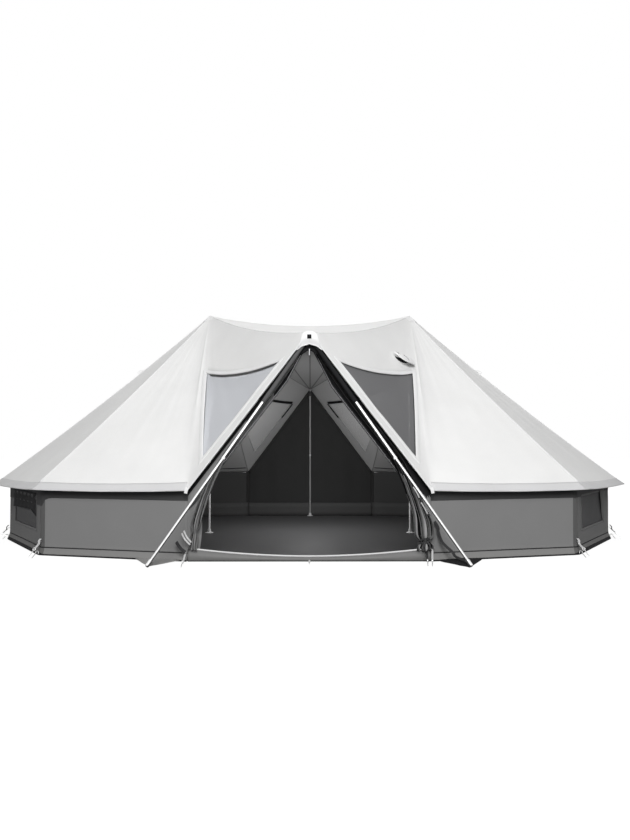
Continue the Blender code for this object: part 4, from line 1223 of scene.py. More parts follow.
def build_door_flap(side):
    """One half of the front door, gathered along its side of the doorway in long folds."""
    level_of, middle, thick = np.array(FLAP_PATHS[side])[::-1].T
    z = np.concatenate((np.linspace(1.830, 0.62, 70), np.linspace(0.60, 0.118, 50)))
    x = np.interp(z, level_of, middle)
    x = np.convolve(np.concatenate((np.full(5, x[0]), x, np.full(5, x[-1]))), np.ones(11) / 11, mode="valid")
    x[0] = middle[-1]
    radius = np.interp(z, level_of, thick)
    folds, seed, waist, tight, valley_at = (5, 5, 0.265, 0.45, 0.50) if side == LEFT else (6, 9, 0.185, 0.50, 0.79)
    plump, crest_at = 0.95, 1 + 0.95 * 0.55
    count = folds * 10 + 1
    a = np.linspace(0, 1, count)
    bunch = a + 0.055 * np.sin(2 * math.pi * a + 0.8) + 0.030 * np.sin(4 * math.pi * a + 2.0)
    run = unit(np.gradient(np.column_stack((x, z)), axis=0))
    phase = np.random.default_rng(seed).uniform(0, 6.28, folds + 1)
    grid = []
    for k, level in enumerate(z):
        sway = 0.12 * np.sin(level * 5.0 + phase[0]) + 0.05 * np.sin(level * 13 + phase[1])
        fold = np.sin(2 * math.pi * folds * bunch + 1.3 * np.sin(level * 2.3 + phase[2]) + phase[3])
        slow = np.sin(2 * math.pi * 1.5 * a + level * 3.0 + phase[4])
        pinch = 1 - tight * math.exp(-((level - waist) / 0.030) ** 2)
        fan = 1 + (0.55 * smooth_step((0.50 - level) / 0.25) if side == RIGHT else 0.10)
        across = (a - 0.5 + 0.04 * sway + 0.035 * np.sin(2 * math.pi * folds * a * 0.5 + level * 7)) \
            * radius[k] * 2.1 * pinch * fan
        depth = DOOR_PLANE - radius[k] + radius[k] * plump * pinch * (0.80 * fold + 0.20 * slow)
        lean = np.array((-run[k][1], run[k][0]))
        spots_z = level + across * lean[1] * 0.6 * np.sign(lean[0] or 1)
        if level < 0.3:
            spots_z = spots_z - 0.02 * np.abs(np.sin(2 * math.pi * folds * a * 0.5 + 1)) * (0.3 - level) / 0.18
        grid.append(np.column_stack((side * (x[k] + across * abs(lean[0])), depth, spots_z)))
    grid = np.array(grid)
    cloth = Cloth()
    cloth.grid(grid)
    # Painted light on the folds: faces deep in a valley take the dark canvas as painted shade, faces on a crest take
    # the paler canvas as painted highlight.
    for n in range(len(cloth.faces)):
        row, column = divmod(n, count - 1)
        deep = (DOOR_PLANE - np.mean(grid[row:row + 2, column:column + 2, 1])) / radius[row]
        shaded = side == RIGHT and z[row] > 0.83 - 0.24 * a[column] + 0.02 * math.sin(a[column] * 40)
        cloth.finishes[n] = 1 if deep < valley_at else 3 if shaded else 2 if deep > crest_at else 0
    name = f"door_flap_{HANDS[side]}"
    flap = cloth.build(f"{name}_cloth", [FLAP_CANVAS, DARK_CANVAS, FLAP_HIGHLIGHT, BAND_CANVAS], FRONTWARD, 0.0012, 60,
                       offset=0.0)
    return place(flap, "tent", [name])


def build_doorway():
    """The gathered door halves with their ties, the dark strips beside them, zips, sill and ground flaps."""
    x = np.concatenate((np.linspace(0.002, 0.10, 8), np.linspace(0.12, DOOR_HALF, 60)))
    top = CORNERS["apex_front"][2] - DOOR_SLOPE * x - 0.004 + 0.030 * np.clip(1 - x / 0.2, 0, 1)
    for side in SIDES:
        hand = HANDS[side]
        depth = 0.165 if side == LEFT else 0.215
        sway = 0.004 * line_waves(x * side, 23, 0.5)
        rows = []
        for share in np.linspace(0, 1, 9):
            drop = depth * share * np.clip(0.5 + x / 0.4, 0.5, 1)
            y = -2.0995 - 0.006 * math.sin(math.pi * share) - (sway + 0.002) * share * (1 - share) * 4
            rows.append(np.column_stack((side * x, y, top - drop)))
        cloth = Cloth()
        cloth.grid(np.stack(rows))
        for n in range(len(cloth.faces)):
            row, column = divmod(n, len(x) - 1)
            if side == LEFT:
                pale = x[column] > 0.30 and row >= (3 if x[column] < 0.55 else 2)
            else:
                pale = top[column] - depth * (row + 0.5) / 8 < 0.575
            cloth.finishes[n] = int(pale)
        surround = cloth.build(f"door_surround_{hand}_cloth", [DARK_CANVAS, WALL_CANVAS], FRONTWARD, 0.0014, 40)
        place(surround, "tent", [f"door_surround_{hand}"])
        tape = rows[-1][3:] + (0, -0.0016, 0.010)
        zips = [webbing(tape, 0.022, (0, -1, 0), ZIP_TAPE, 0.0014), zip_teeth(tape + (0, -0.0022, 0))]
        zipper = place(joined(f"door_zip_{hand}", zips), "tent")
        hang(surround, flat=(1.75, depth + 0.03), trims=[zipper])
        flap = build_door_flap(side)
        tie = place(joined(f"door_ties_{hand}", build_ties(side)), "tent")
        hang(flap, (FLAP_WIDTH, max(1.95, sheet_area(flap) / FLAP_WIDTH * 1.02)),
             trims=[tie])
        build_post(side)
        build_ground_flap(side)
    build_front_sill()


def build_ties(side):
    """Webbing ties round one gathered door half."""
    ahead = (0, -1, 0.1)
    if side == LEFT:
        straps = (
            (((-1.108, -2.150, 0.250), (-1.075, -2.192, 0.205), (-1.030, -2.190, 0.156)), 0.014, ahead, PALE_WEBBING),
            (((-1.090, -2.150, 0.272), (-1.060, -2.190, 0.225), (-1.020, -2.186, 0.176)), 0.014, ahead, PALE_WEBBING),
            (((-1.160, -2.125, 0.172), (-1.118, -2.175, 0.128), (-1.072, -2.180, 0.088)), 0.028, ahead,
             DARK_WEBBING, 0.003))
        return [webbing(bent(run, 14), *rest) for run, *rest in straps]
    turns = np.linspace(0, 2 * math.pi, 40)
    outward = unit(np.column_stack((np.cos(turns), np.sin(turns), 0 * turns)))
    rings = [webbing(np.column_stack((1.003 + 0.050 * np.cos(turns), -2.156 + 0.046 * np.sin(turns),
                                      level + 0.012 * np.cos(turns + k))), 0.016, outward, DARK_WEBBING)
             for k, level in enumerate((0.178, 0.196))]
    straps = (
        (((1.015, -2.206, 0.185), (1.040, -2.214, 0.150), (1.030, -2.210, 0.112)), 12, 0.014, ahead, DARK_WEBBING),
        (((1.000, -2.206, 0.180), (0.985, -2.216, 0.140), (0.998, -2.212, 0.096)), 12, 0.014, ahead, DARK_WEBBING),
        (((0.900, -2.196, 0.655), (0.930, -2.206, 0.600), (0.950, -2.204, 0.560)), 12, 0.011, (0.3, -1, 0.1),
         PALE_WEBBING, 0.0016),
        (((0.965, -2.206, 0.520), (0.995, -2.214, 0.470), (1.020, -2.210, 0.420)), 12, 0.011, (0.3, -1, 0.1),
         PALE_WEBBING, 0.0016),
        (((1.092, -2.128, 0.350), (1.122, -2.128, 0.300), (1.126, -2.130, 0.256), (1.160, -2.140, 0.168),
          (1.240, -2.180, 0.088), (1.262, -2.215, 0.055), (1.345, -2.380, 0.030)), 48, 0.025, (0.2, -1, 0.35),
         DARK_WEBBING, 0.003))
    return rings + [webbing(bent(run, count), *rest) for run, count, *rest in straps]


def build_post(side):
    """Wall cloth that turns in beside the doorway, between the wall's front edge and the gathered door."""
    z = np.linspace(0.0, 0.640, 24)
    rows = []
    for share in np.linspace(0, 1, 7):
        reach = DOOR_HALF - share * (0.085 + 0.035 * np.sin(z * 5))
        y = -2.1006 + 0.012 * math.sin(math.pi * share) + 0.03 * share
        rows.append(np.column_stack((side * reach, np.full(len(z), y), z)))
    post = sheet_of(f"door_post_{HANDS[side]}", rows, WALL_CANVAS, FRONTWARD, 0.0014)
    hang(place(post, "tent"))


def build_ground_flap(side):
    """Triangle of cloth on the ground, from the foot of the wall to the foot of the leg."""
    corners = {LEFT: ((-1.574, -1.940), (-1.345, -2.405), (-1.110, -2.080)),
               RIGHT: ((1.574, -1.950), (1.330, -2.470), (1.080, -2.090))}[side]
    a, b, c = (np.array(spot) for spot in corners)
    grid = []
    for t in np.linspace(0, 1, 16):
        line = []
        for s in np.linspace(0, 1, 20):
            base = a + s * (c - a)
            puff = 0.030 * math.sin(math.pi * s) * (1 - t) * t * 4 + 0.004 + 0.006 * (1 - t)
            line.append((*(base + t * (b - base)), puff))
        grid.append(line)
    grid = np.array(grid)
    grid[..., 2] += 0.0016 * waves(grid.reshape(-1, 3), 31 + side, 0.12).reshape(grid.shape[:2])
    grid[..., 2] = np.maximum(grid[..., 2], 0.0022)
    # On the right the flap is in the dark canvas, as painted shadow on the ground by the leg's foot.
    finish = WALL_CANVAS if side == LEFT else DARK_CANVAS
    flap = place(sheet_of(f"ground_flap_{HANDS[side]}", grid, finish, UPWARD, 0.0012), "tent")
    hang(flap, (0.56, 0.44))


def build_front_sill():
    """Low strip of groundsheet across the doorway, its bound edge sagging in the middle."""
    x = np.linspace(-1.062, 1.062, 90)
    crest = 0.040 + 0.070 * np.abs(x / DOOR_HALF) ** 1.9
    wrinkle = 0.004 * line_waves(x, 51, 0.22)
    rows = []
    for share in np.linspace(0, 1, 9):
        y = -2.103 - (0.020 + wrinkle) * math.sin(math.pi * share) - 0.010 * (1 - share)
        rows.append(np.column_stack((x, y, crest * share + 0.001)))
    sill = sheet_of("front_sill_cloth", rows, SILL_CLOTH, FRONTWARD, 0.0012)
    place(sill, "tent", ["front_sill"])
    edge = rows[-1] + (0, -0.001, 0.004)
    trims = [tube(edge, 0.0100, SEAM_TAPE, 10, flatten=0.7),
             stitches("part", [edge + (0, -0.0095, -0.006)], THREAD, 0.012, 0.007),
             tube(rows[0] + (0, -0.003, 0.002), 0.0035, DARK_CANVAS)]
    trim = place(joined("front_sill_trim", trims), "tent")
    hang(sill, flat=(2.16, 0.13), trims=[trim])


def build_floor():
    """Groundsheet with its upstand inside the walls, and the rear sill."""
    plan = np.array(PLAN)
    y, across = np.linspace(-2.099, 2.099, 61), np.linspace(-1, 1, 71)
    half = np.interp(y, plan[:, 1], plan[:, 0]) - 0.004
    grid = np.stack([np.column_stack((reach * across, np.full(71, level), np.zeros(71)))
                     for level, reach in zip(y, half)])
    flat = grid.reshape(-1, 3)
    lift = 0.0035 + 0.0022 * waves(flat, 61, 0.9) + 0.0010 * waves(flat, 62, 0.25)
    grid[..., 2] = np.maximum(0.0012, lift).reshape(grid.shape[:2])
    floor = sheet_of("floor", grid, FLOOR_SHEET, UPWARD, 0.0009)
    place(floor, "tent", ["groundsheet"])
    hang(floor, (6.48, 4.22))
    s = np.linspace(0.01, WALL_STOPS[-1] - 0.002, 150)
    for side in SIDES:
        rows = [wall_point(side, s, z, lift - MUD_FLARE * max(0, 1 - z / MUD_SEAM))
                for z, lift in ((0.003, -0.020), (0.05, -0.012), (0.12, -0.010), (0.190, -0.010))]
        stand = sheet_of(f"floor_upstand_{HANDS[side]}", rows, UPSTAND_CLOTH, lambda at: -out_level(at), 0.0009)
        hang(place(stand, "tent"), flat=(float(WALL_STOPS[-1]), 0.20))
    x = np.linspace(-0.878, 0.878, 60)
    rows = [np.column_stack((x, y + 0.0015 * line_waves(x, 63, 0.3, z), np.full(60, z)))
            for z, y in ((0.002, 2.086), (0.06, 2.088), (0.125, 2.089), (0.190, 2.090))]
    sill = sheet_of("rear_sill_cloth", rows, UPSTAND_CLOTH, FRONTWARD, 0.0009)
    place(sill, "tent", ["rear_sill"])
    trim = tube(rows[-1] + (0, 0, 0.002), 0.004, DARK_WEBBING, name="rear_sill_binding")
    hang(sill, flat=(1.76, 0.20), trims=[place(trim, "tent")])


def build_rear_doors():
    """The two halves of the rear door, hung from the canvas edges, with the zip between them."""
    u, z_low = np.linspace(0, 1, 30), 0.104
    x = 0.0006 + u * 0.8785
    top = np.interp(x, (0, 0.88), (1.790, 0.614))
    fade = np.clip(u * 6, 0, 1) * np.clip((1 - u) * 8, 0, 1)
    for side in SIDES:
        hand = HANDS[side]
        grid = np.stack([np.column_stack((
            side * x,
            REAR_PLANE + (0.006 * np.sin(x * 21 + 1.2) * math.sin(math.pi * t) + 0.004 * np.sin(x * 9 + t * 4)) * fade,
            z_low + t * (top - z_low))) for t in np.linspace(0, 1, 40)])
        door = sheet_of(f"rear_door_{hand}_cloth", grid, DOOR_CANVAS, REARWARD, 0.0014, offset=0.0)
        body = f"{hand}_rear_leaf"
        place(door, body, [f"rear_door_{hand}"])
        edge = grid[:, 0]
        parts = [webbing(edge + (side * 0.008, 0, 0), 0.016, (0, 1, 0), ZIP_TAPE, 0.0016),
                 zip_teeth(edge + (side * 0.0026, 0, 0), 0.005),
                 tube(grid[0] + (0, 0.003, 0.004), 0.003, DOOR_CANVAS)]
        trim = place(joined(f"rear_door_{hand}_trim", parts), body)
        hang(door, flat=(0.90, 1.72), trims=[trim])


def build_rear_laps():
    """Laps of dark cloth inside the rear door's edges."""
    laps, slope = [], np.linspace(0, 1, 40)
    for side in SIDES:
        upper = np.column_stack((side * 0.884 * slope, np.full(40, LAP_PLANE), 1.806 - 1.180 * slope))
        step = np.array((-0.8016 * side, 0, -0.598)) * 0.036
        edge = np.column_stack((np.full(16, side * 0.902), np.full(16, LAP_PLANE), np.linspace(0.0, 0.640, 16)))
        laps += [strip(rows, DOOR_CANVAS, REARWARD, 0.0012, 0.0)
                 for rows in ((upper, upper + 0.5 * step, upper + step), (edge, edge - (0.030 * side, 0, 0)))]
    place(joined("rear_door_laps", laps), "tent")


# Inside
def build_inner_trim():
    """Seam tapes and the dark window bars inside the rear half of the roof."""
    under, t = -0.0052, np.linspace(0.01, 0.99, 50)
    parts = [webbing(top_point(end, np.full(50, share), t, -0.0048), 0.016, (0, 0, 1), LINING_TAPE)
             for share in (0.5, 0.28, 0.72) for end in ("rear", "front")]
    for side in SIDES:
        for key, panel, radius in (("apex_rear", "gable_rear", 0.0042), ("apex_front", "gable_front", 0.0042),
                                   ("corner_rear", "rear", 0.0036), ("tip_rear", "end_rear", 0.0036),
                                   ("eave_rear", "rear", 0.0036)):
            parts.append(tube(near_seam(side, panel, key, t, 0.0, under), radius, LINING_TAPE))
        for panel in ("rear", "end_rear", "end_mid", "end_front", "front"):
            parts.append(tube(near_eave(side, panel, t, 0.10, under), 0.0042, DARK_CANVAS))
    roof_trim(joined("inner_seams", parts))
    bars = [webbing(rim_line("rear", side, t, 0.004, -0.011), width, panel_normal(side, "gable_rear"), DARK_CANVAS,
                    thickness)
            for side in SIDES for t, width, thickness in ((np.linspace(0.02, 0.98, 30), 0.034, 0.006),
                                                          (np.linspace(2.70, 2.98, 12), 0.022, 0.005))]
    roof_trim(joined("inner_window_bars", bars))


def build_rear_window_covers():
    """Zipped light covers over the mesh of the rear roof windows."""
    for side in SIDES:
        hand, normal = HANDS[side], panel_normal(side, "gable_rear")
        cover = window_sheet(f"rear_cover_{hand}", "rear", side, 0.010, 0.0030, 0.004, ROOF_CANVAS)
        place(cover, "tent")
        line = rim_line("rear", side, np.linspace(0, 3, 150), 0.003, 0.0062)[2:-2]
        parts = [webbing(line, 0.016, normal, ZIP_TAPE, 0.0012), zip_teeth(line + 0.0014 * normal, 0.006)]
        trim = place(joined(f"rear_cover_zip_{hand}", parts), "tent")
        hang(cover, trims=[trim])


def build_vent():
    """The vent hood: a domed flap propped open over its dark mouth, with painted shade under its lip."""
    apex, edge, cross = gable_frame("front", RIGHT)
    normal = panel_normal(RIGHT, "gable_front")
    hinge = math.cos(math.radians(60)) * edge + math.sin(math.radians(60)) * cross
    down = unit(np.cross(hinge, normal))
    down = down if down @ edge > 0 else -down
    centre = apex + 0.605 * edge + 1.470 * cross + 0.0004 * normal
    opening = math.radians(18)
    turn = np.linspace(0, math.pi, 33)
    along = 0.024 + 0.150 * np.sign(np.cos(turn)) * np.abs(np.cos(turn)) ** 0.7
    out = 0.156 * np.sin(turn) ** 0.7
    rows = []
    for t in np.linspace(0, 1, 14):
        dome = 0.016 * np.sin(math.pi * t ** 0.8) * np.sin(turn) ** 0.5
        rows.append(centre + (along * (0.985 + 0.015 * t))[:, None] * hinge
                    + (out * t * math.cos(opening))[:, None] * down
                    + (out * t * math.sin(opening) + dome + 0.004)[:, None] * normal)
    grid = np.stack(rows)
    hood = sheet_of("vent_hood_cloth", grid, FRAME_CANVAS, towards(*normal), CANVAS)
    place(hood, "vent", ["vent_hood"])
    lip = grid[-1]
    rise = (lip - centre) @ normal
    hem = np.clip(rise - 0.030, 0, 0.10 * rise)[:, None] * normal
    trims = [strip((lip, lip - 0.5 * hem + 0.002 * down, lip - hem), FRAME_CANVAS, towards(*down), CANVAS, 0.0),
             tube(lip, 0.0014 + 0.0028 * np.clip(np.sin(turn) * 2.5, 0, 1), FRAME_CANVAS)]
    # Three pleats drawn as dark grey cords on the white hood, as painted shade of its folds.
    trims += [tube(grid[first:last, column] + 0.0010 * normal, thick, END_SHADED_CANVAS, 6)
              for first, last, column, thick in ((2, 11, 16, 0.0022), (0, 6, 22, 0.0016), (0, 7, 25, 0.0020))]
    trims.append(stitches("part", [grid[-3] + 0.0010 * normal], THREAD, 0.008, 0.005))
    trim = place(joined("vent_hood_trim", trims), "vent")
    hang(hood, (0.31, 0.185), [trim])
    # A dark sheet over part of the mouth under the lip: the vent's mesh and the shadow under the lip, as painted
    # shade.
    mouth = np.stack([centre - apex + (0.024 + (along - 0.024) * 0.78)[:, None] * hinge + (out * t)[:, None] * down
                      for t in np.linspace(0.10, 0.52, 10)])
    points = gable_point("front", RIGHT, (mouth @ edge).ravel(), (mouth @ cross).ravel(), 0.0022)
    screen = sheet_of("vent_mesh_and_shade", points.reshape(mouth.shape), DARK_CANVAS, towards(*normal), 0.0008)
    hang(place(screen, "tent"))


# Frame and fixings
def leg_point(side, along):
    """A point on a leg's axis at a distance down from its pivot."""
    return (LEG_TOP + along * unit(LEG_FOOT - LEG_TOP)) * (side, 1, 1)


def build_leg_parts():
    """Sleeves, snap buttons and rubber feet of the two front legs."""
    stations = np.linspace(0.030, 0.66, 44)
    for side in SIDES:
        hand = HANDS[side]
        line = np.array([leg_point(side, along) for along in stations])
        radius = 0.0149 + (0.0029 + 0.0012 * waves(line, 71 + side, 0.08)) * smooth_step((stations - 0.10) / 0.08)
        radius[-1] = 0.0160
        sleeve = tube(line, radius, DARK_CANVAS if side == RIGHT else SLEEVE_CLOTH, 16, caps=False,
                      name=f"leg_sleeve_{hand}")
        place(sleeve, f"{hand}_leg")
        hang(sleeve, (0.117, 0.635))
        shell(sleeve, 0.0008, 1.0)
        run = unit(leg_point(side, 1.0) - leg_point(side, 0.0))
        facing = unit(np.array((0, -1, 0)) - run * (run @ np.array((0, -1, 0))))
        end = np.linalg.norm(LEG_FOOT - LEG_TOP)
        for name, body, centre, axis, profile, finish, sides in (
                ("collar", "leg", leg_point(side, 1.25), run,
                 ((-0.018, 0.0146), (-0.018, 0.0158), (-0.002, 0.0162), (0.001, 0.0150), (0.001, 0.0120),
                  (-0.018, 0.0146)), STEEL, 24),
                ("button", "leg", leg_point(side, 1.212) + facing * 0.0128, facing,
                 ((0, 0), (0, 0.0042), (0.0035, 0.0040), (0.0050, 0.0028), (0.0056, 0)), STEEL, 14),
                ("rubber", "leg_foot", leg_point(side, end), -run,
                 ((-0.0150, 0), (-0.0150, 0.0110), (-0.0120, 0.0155), (0.002, 0.0158), (0.005, 0.0150),
                  (0.005, 0.0128)), RUBBER, 24)):
            place(turned(f"leg_{name}_{hand}", centre, axis, profile, finish, sides), f"{hand}_{body}")


def build_pole_parts():
    """Snap buttons, collars and rubber feet of the upright poles."""
    up = (0, 0, 1)
    main = (((0.0, 0.0145), (-0.001, 0.0172), (0.002, 0.0182), (0.022, 0.0178), (0.024, 0.0164)), 28,
            0.0148, 0.055, ((0, 0), (0, 0.0045), (0.0035, 0.0042), (0.0052, 0.0028), (0.0058, 0)),
            ((0.0, 0.0445), (0.0, 0.0465), (0.004, 0.0470), (0.007, 0.0440), (0.010, 0.0300), (0.016, 0.0215),
             (0.045, 0.0195), (0.048, 0.0165)))
    rear = (((0.0, 0.0112), (-0.001, 0.0136), (0.002, 0.0142), (0.020, 0.0140), (0.022, 0.0128)), 24,
            0.0114, 0.050, ((0, 0), (0, 0.0040), (0.0030, 0.0036), (0.0044, 0.0024), (0.0050, 0)),
            ((0.0, 0.0395), (0.0, 0.0404), (0.004, 0.0404), (0.007, 0.038), (0.010, 0.026), (0.016, 0.018),
             (0.040, 0.0160), (0.043, 0.0130)))
    for node, body, names, shapes in (
            ("main_pole_left", "left_pole_foot", "pole_{}_left", main),
            ("main_pole_right", "right_pole_foot", "pole_{}_right", main),
            ("rear_pole", "rear_pole_foot", "rear_pole_{}", rear)):
        collar, sides, out, above, button, foot = shapes
        low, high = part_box(f"{node}_lower")
        x, y, z = (low.x + high.x) / 2, (low.y + high.y) / 2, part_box(f"{node}_upper")[0].z
        place(turned(names.format("collar"), (x, y, z), up, collar, PALE_PLASTIC, sides), "tent")
        place(turned(names.format("button"), (x, y - out, z + above), (0, -1, 0), button, STEEL, 14), "tent")
        if shapes is rear:
            cup = ((0.0, 0.0128), (0.0, 0.022), (0.020, 0.030), (0.050, 0.026), (0.066, 0.0128))
            place(turned("rear_pole_cup", (x, y, 1.700), up, cup, RUBBER), "tent")
        place(turned(names.format("rubber"), (x, y, 0.003), up, foot, PALE_PLASTIC, 32), body)


def hook_peg(head, tip, hook):
    """A bent rod peg from its hooked head down to its tip on the ground."""
    head, tip, hook = (np.asarray(v, float) for v in (head, tip, hook))
    path = bent((head + hook * 0.030 + (0, 0, -0.012), head + hook * 0.026 + (0, 0, 0.010), head + (0, 0, 0.012),
                 head * 0.85 + tip * 0.15, head * 0.4 + tip * 0.6, tip), 40)
    radius = np.full(len(path), 0.0034)
    radius[-3:] = (0.0030, 0.0020, 0.0008)
    return tube(path, radius, STEEL)


def build_fixings():
    """Peg loops, extra pegs, corner straps and roof tabs."""
    steel, pale, dark = [], [], []

    def door_strap(start, end, finish, rise, parts):
        """A strap from the doorway's foot to a peg in front of it."""
        start, end = np.array(start), np.array(end)
        sag = bent((start, start * 0.6 + end * 0.4 + (0, 0, -0.012), start * 0.25 + end * 0.75), 16)
        parts.append(webbing(sag, 0.016, (0, -0.3, 1), finish))
        steel.append(hook_peg(sag[-1] + (0, 0, rise), end, (0, 0.5, 0)))

    for side in SIDES:
        for index, lean, shift, finish in ((1, (0.060, -0.180), (-0.045, -0.045), PALE_WEBBING),
                                           (2, (0.110, -0.110), (-0.05, 0.02), DARK_WEBBING)):
            base = np.array((PLAN[index][0] * side, PLAN[index][1], 0.0))
            out, shift = (np.array((x * side, y, 0.0)) for x, y in (lean, shift))
            away = unit(out)
            top = base + (0, 0, 0.150) + away * 0.010
            loop = bent((top, top + away * 0.022 + (0, 0, -0.020), base + away * 0.034 + (0, 0, 0.105),
                         base + out * 0.45 + (0, 0, 0.072)), 24)
            pale.append(webbing(loop, 0.022, away + np.array((0, 0, 0.4)), finish))
            ring_at = base + out * 0.50 + (0, 0, 0.066)
            turns = np.linspace(0, 2 * math.pi, 24, endpoint=False)[:, None]
            across = unit(np.cross(away, (0, 0, 1)))
            up = unit(np.cross(across, away) + away * -0.5)
            ring = ring_at + 0.015 * (np.cos(turns) * across + np.sin(turns) * up)
            steel.append(tube(ring, 0.0021, STEEL, closed=True))
            steel.append(hook_peg(ring_at + shift * 0.6 + (0, 0, -0.028), base + (0, 0, 0.003) + out + shift * 1.3,
                                  -away))
        ends = ((-1.078, -2.125, 0.085), (-1.061, -2.470, 0.004)) if side == LEFT else \
            ((1.073, -2.125, 0.112), (1.024, -2.440, 0.004))
        door_strap(*ends, PALE_WEBBING, 0.010, pale)
    door_strap((1.025, -2.125, 0.108), (0.990, -2.420, 0.004), DARK_WEBBING, 0.008, dark)
    centre = np.array((0.0, -2.122, 0.012))
    pale.append(webbing(bent((centre, centre + (0, -0.05, 0.004), centre + (0, -0.105, -0.004)), 10), 0.016,
                        (0, 0, 1), PALE_WEBBING))
    steel.append(hook_peg((0.0, -2.235, 0.016), (0.0, -2.330, 0.003), (0, 0.4, 0)))
    for x in (-0.86, 0.86):
        loop = bent(((x, 2.104, 0.020), (x, 2.14, 0.022), (x, 2.175, 0.010)), 10)
        dark.append(webbing(loop, 0.018, (0, 0, 1), DARK_WEBBING))
        steel.append(hook_peg((x, 2.182, 0.016), (x, 2.235, 0.002), (0, -0.4, 0)))
    place(joined("pegs_and_rings", steel), "tent")
    place(joined("peg_loops", pale + dark), "tent")
    tabs, at = [], 0.335
    for side in SIDES:
        for key in ("tip_front", "tip_rear", "corner_rear"):
            run = unit(corner(key, side) - corner("peak", side))
            normal = seam_normal(side, key)
            base = near_seam(side, panels_at(key)[0], key, np.array([at, at + 0.01]), 0.001, 0.004)[0]
            path = bent([base + run * a + normal * b for a, b in (
                (-0.020, 0.0), (0.030, 0.004), (0.052, 0.018), (0.030, 0.024), (-0.012, 0.006))], 24)
            tabs.append(webbing(path, 0.024, np.cross(run, np.cross(normal, run)), PALE_WEBBING))
    roof_trim(joined("guy_tabs", tabs))


def boot_ring(side, reach, lift):
    """A ring of points round a peak, on the canvas."""
    peak = corner("peak", side)
    order = [key for key in CORNERS if key != "peak"]
    ring = []
    for a, b in zip(order, order[1:]):
        panel = next(name for name, keys in PANELS.items() if a in keys and b in keys)
        first, second = (unit(corner(key, side) - peak) for key in (a, b))
        for t in np.linspace(0, 1, 6, endpoint=False):
            flat = (peak + unit((1 - t) * first + t * second) * reach)[None]
            ring.append(flat_point(side, panel, flat, lift)[0])
    start, stop = (unit(corner(key, side) - peak) for key in ("apex_rear", "apex_front"))
    inner = unit(np.array((-side, 0, -0.2)))
    for t in np.linspace(0, 1, 12, endpoint=False):
        spot = peak + unit((1 - t) ** 2 * start + 2 * t * (1 - t) * inner + t ** 2 * stop) * reach
        share = 0.5 + 0.5 * side * min(1.0, abs(spot[0] / peak[0]))
        end = "rear" if spot[1] > 0 else "front"
        level = 1 - abs(spot[1]) / abs(CORNERS[f"apex_{end}"][1])
        ring.append(np.array((*spot[:2], top_point(end, np.array([share]), np.array([level]), lift)[0][2])))
    return np.array(ring)


def build_peak_boots():
    """Stitched reinforcement over the two peaks of the roof."""
    boots, rows = [], []
    for side in SIDES:
        grid = np.stack([boot_ring(side, reach, lift) for reach, lift in (
            (0.004, 0.0065), (0.03, 0.0050), (0.06, 0.0042), (0.090, 0.0036), (0.112, 0.0022))])
        smooth = (np.roll(grid, 1, 1) + grid * 2 + np.roll(grid, -1, 1)) / 4
        grid[..., 2] = np.maximum(smooth[..., 2], grid[..., 2])
        tip = np.broadcast_to(grid[0].mean(0) + (0, 0, 0.001), grid[0].shape)
        cloth = Cloth()
        cloth.grid(np.concatenate((tip[None], grid)), closed=True)
        boots.append(cloth.build("part", [FRAME_CANVAS], up_and_out, CANVAS, sharp=50))
        rows.append(np.vstack((grid[-2], grid[-2][:1])) + (0, 0, 0.0026))
    roof_trim(joined("peak_boots", boots))
    roof_trim(stitches("peak_boot_stitching", rows, THREAD, 0.010, 0.006))


def dress_frame_nodes():
    """Steel for every tube, hub and peg that stays as the frame has it."""
    for name, node in frame["nodes"].items():
        if not node.hide_render:
            # Main poles take the tube painted pale as light, the rear pole the one painted dark as shade.
            finish = REAR_POLE_SHADED_TUBE if "rear_pole" in name else POLE_LIT_TUBE if "pole" in name else \
                LEG_STEEL if "leg" in name else STEEL
            for slot in node.material_slots:
                slot.material = finish


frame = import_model()
WALL_STOPS = run_lengths(np.array(PLAN))
WEAVE, DUST, STITCH_TREE = weave_group(), dust_group(), stitch_tree()
ROOF_CANVAS = cloth_finish("roof canvas", (0.83, 0.83, 0.825), 0.85)
# The canvas's inner face is the same canvas painted darker, as shade inside the tent.
ROOF_LINING_SHADED = cloth_finish("roof canvas, inner face darkened as painted shade", 0.46, 0.9)
LINING_TAPE = cloth_finish("inner seam tape", 0.20, 0.8)
VALANCE_CANVAS = cloth_finish("valance canvas", (0.65, 0.65, 0.655), 0.85)
FRAME_CANVAS = cloth_finish("window frame canvas", 0.86, 0.8)
SEAM_TAPE = cloth_finish("seam tape", 0.78, 0.7, threads=1400)
WALL_CANVAS = cloth_finish("wall canvas", 0.225, 0.75, dust=0.5)
WALL_LINING = cloth_finish("wall canvas, inner face", 0.060, 0.8, sheen=0.05, gloss=0.1)
DARK_CANVAS = cloth_finish("dark canvas", (0.018, 0.018, 0.019), 0.8, sheen=0.0, gloss=0.05)
BAND_CANVAS = cloth_finish("wall band", (0.058, 0.058, 0.059), 0.8, sheen=0.0, gloss=0.1)
SLEEVE_CLOTH = cloth_finish("leg sleeve cloth", (0.110, 0.110, 0.111), 0.8, sheen=0.0, gloss=0.05)
# End walls: the wall's cloth painted darker, as shade on the sides that turn away from the key lamp.
END_SHADED_CANVAS = cloth_finish("end wall canvas, darkened as painted shade", 0.105, 0.75, sheen=0.05, dust=0.4)
DOOR_CANVAS = cloth_finish("rear door canvas", 0.040, 0.75, sheen=0.0, gloss=0.1)
FLAP_CANVAS = cloth_finish("door canvas", 0.22, 0.7, dust=0.3)
FLAP_HIGHLIGHT = cloth_finish("door canvas, painted fold highlights", 0.38, 0.7, dust=0.3)
COVER_CLOTH = cloth_finish("window cover cloth", (0.79, 0.81, 0.85), 0.7)
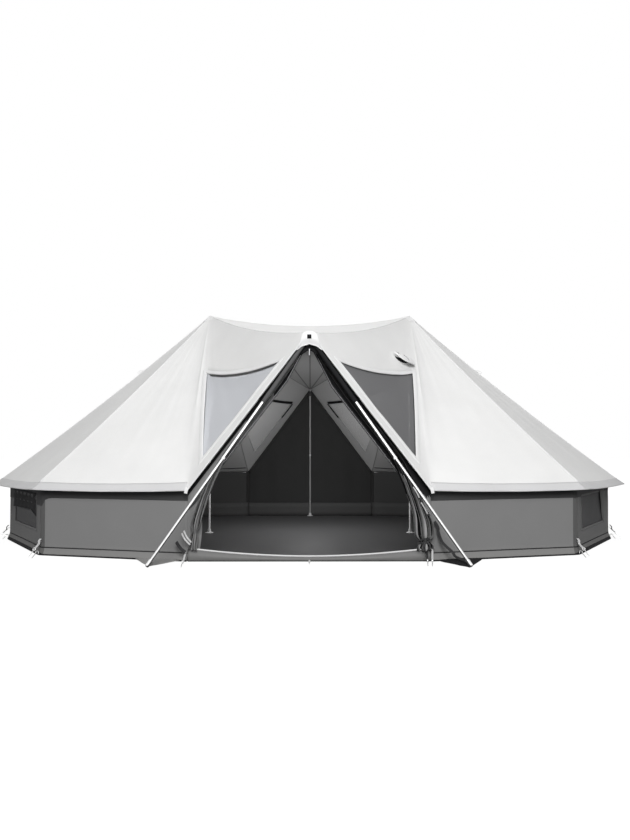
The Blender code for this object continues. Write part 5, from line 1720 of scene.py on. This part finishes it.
MESH = cloth_finish("insect mesh", (0.175, 0.175, 0.180), 0.6, sheen=0.0, threads=1600, alpha=0.72)
FINE_MESH = cloth_finish("fine window mesh", (0.40, 0.40, 0.41), 0.6, sheen=0.0, threads=1600, alpha=0.12)
DARK_MESH = cloth_finish("wall window mesh", (0.050, 0.050, 0.052), 0.6, sheen=0.0, threads=1600, alpha=0.80,
                         gloss=0.1)
FLOOR_SHEET = cloth_finish("groundsheet", (0.060, 0.060, 0.061), 0.6, sheen=0.02, threads=500, gloss=0.1)
UPSTAND_CLOTH = cloth_finish("groundsheet upstand", 0.070, 0.6, sheen=0.02, threads=500, gloss=0.1)
SILL_CLOTH = cloth_finish("sill cloth", 0.17, 0.55, threads=500, dust=0.4)
PALE_WEBBING = cloth_finish("pale webbing", 0.62, 0.6, threads=700)
DARK_WEBBING = cloth_finish("dark webbing", (0.020, 0.020, 0.021), 0.55, threads=700)
ZIP_TAPE = cloth_finish("zip tape", (0.060, 0.060, 0.062), 0.6)
ZIP_TEETH = metal_finish("zip teeth", (0.55, 0.55, 0.56), 0.35)
STEEL = metal_finish("galvanised tube", 0.86, 0.28)
# Main and rear poles are one galvanised tube: the main poles painted pale and less metal as painted light from the
# doorway, the rear pole painted dark grey as painted shade.
POLE_LIT_TUBE = metal_finish("pale coated tube", 0.93, 0.34, 0.12, metallic=0.15)
REAR_POLE_SHADED_TUBE = metal_finish("grey coated tube", 0.36, 0.34, 0.12, metallic=0.15)
LEG_STEEL = metal_finish("galvanised leg tube, painted shade underneath", 0.84, 0.30, metallic=0.8, underside_shade=0.92)
RUBBER = plastic_finish("rubber", 0.020, 0.6)
PALE_PLASTIC = plastic_finish("pale plastic", 0.55, 0.45)
THREAD = cloth_finish("white thread", 0.80, 0.7, threads=3000)
DARK_THREAD = cloth_finish("grey thread", 0.10, 0.7, threads=3000)

build_stage()
ROOF_TRIMS = []
canopy, canopy_area = build_roof()
build_roof_windows()
build_rear_window_covers()
build_peak_boots()
build_front_edges()
build_apex_cap(canopy)
build_walls(canopy)
build_floor()
build_doorway()
build_rear_doors()
build_rear_laps()
build_inner_trim()
build_vent()
build_leg_parts()
build_pole_parts()
build_fixings()
dress_frame_nodes()
hang(canopy, (8.6, 7.0), ROOF_TRIMS)
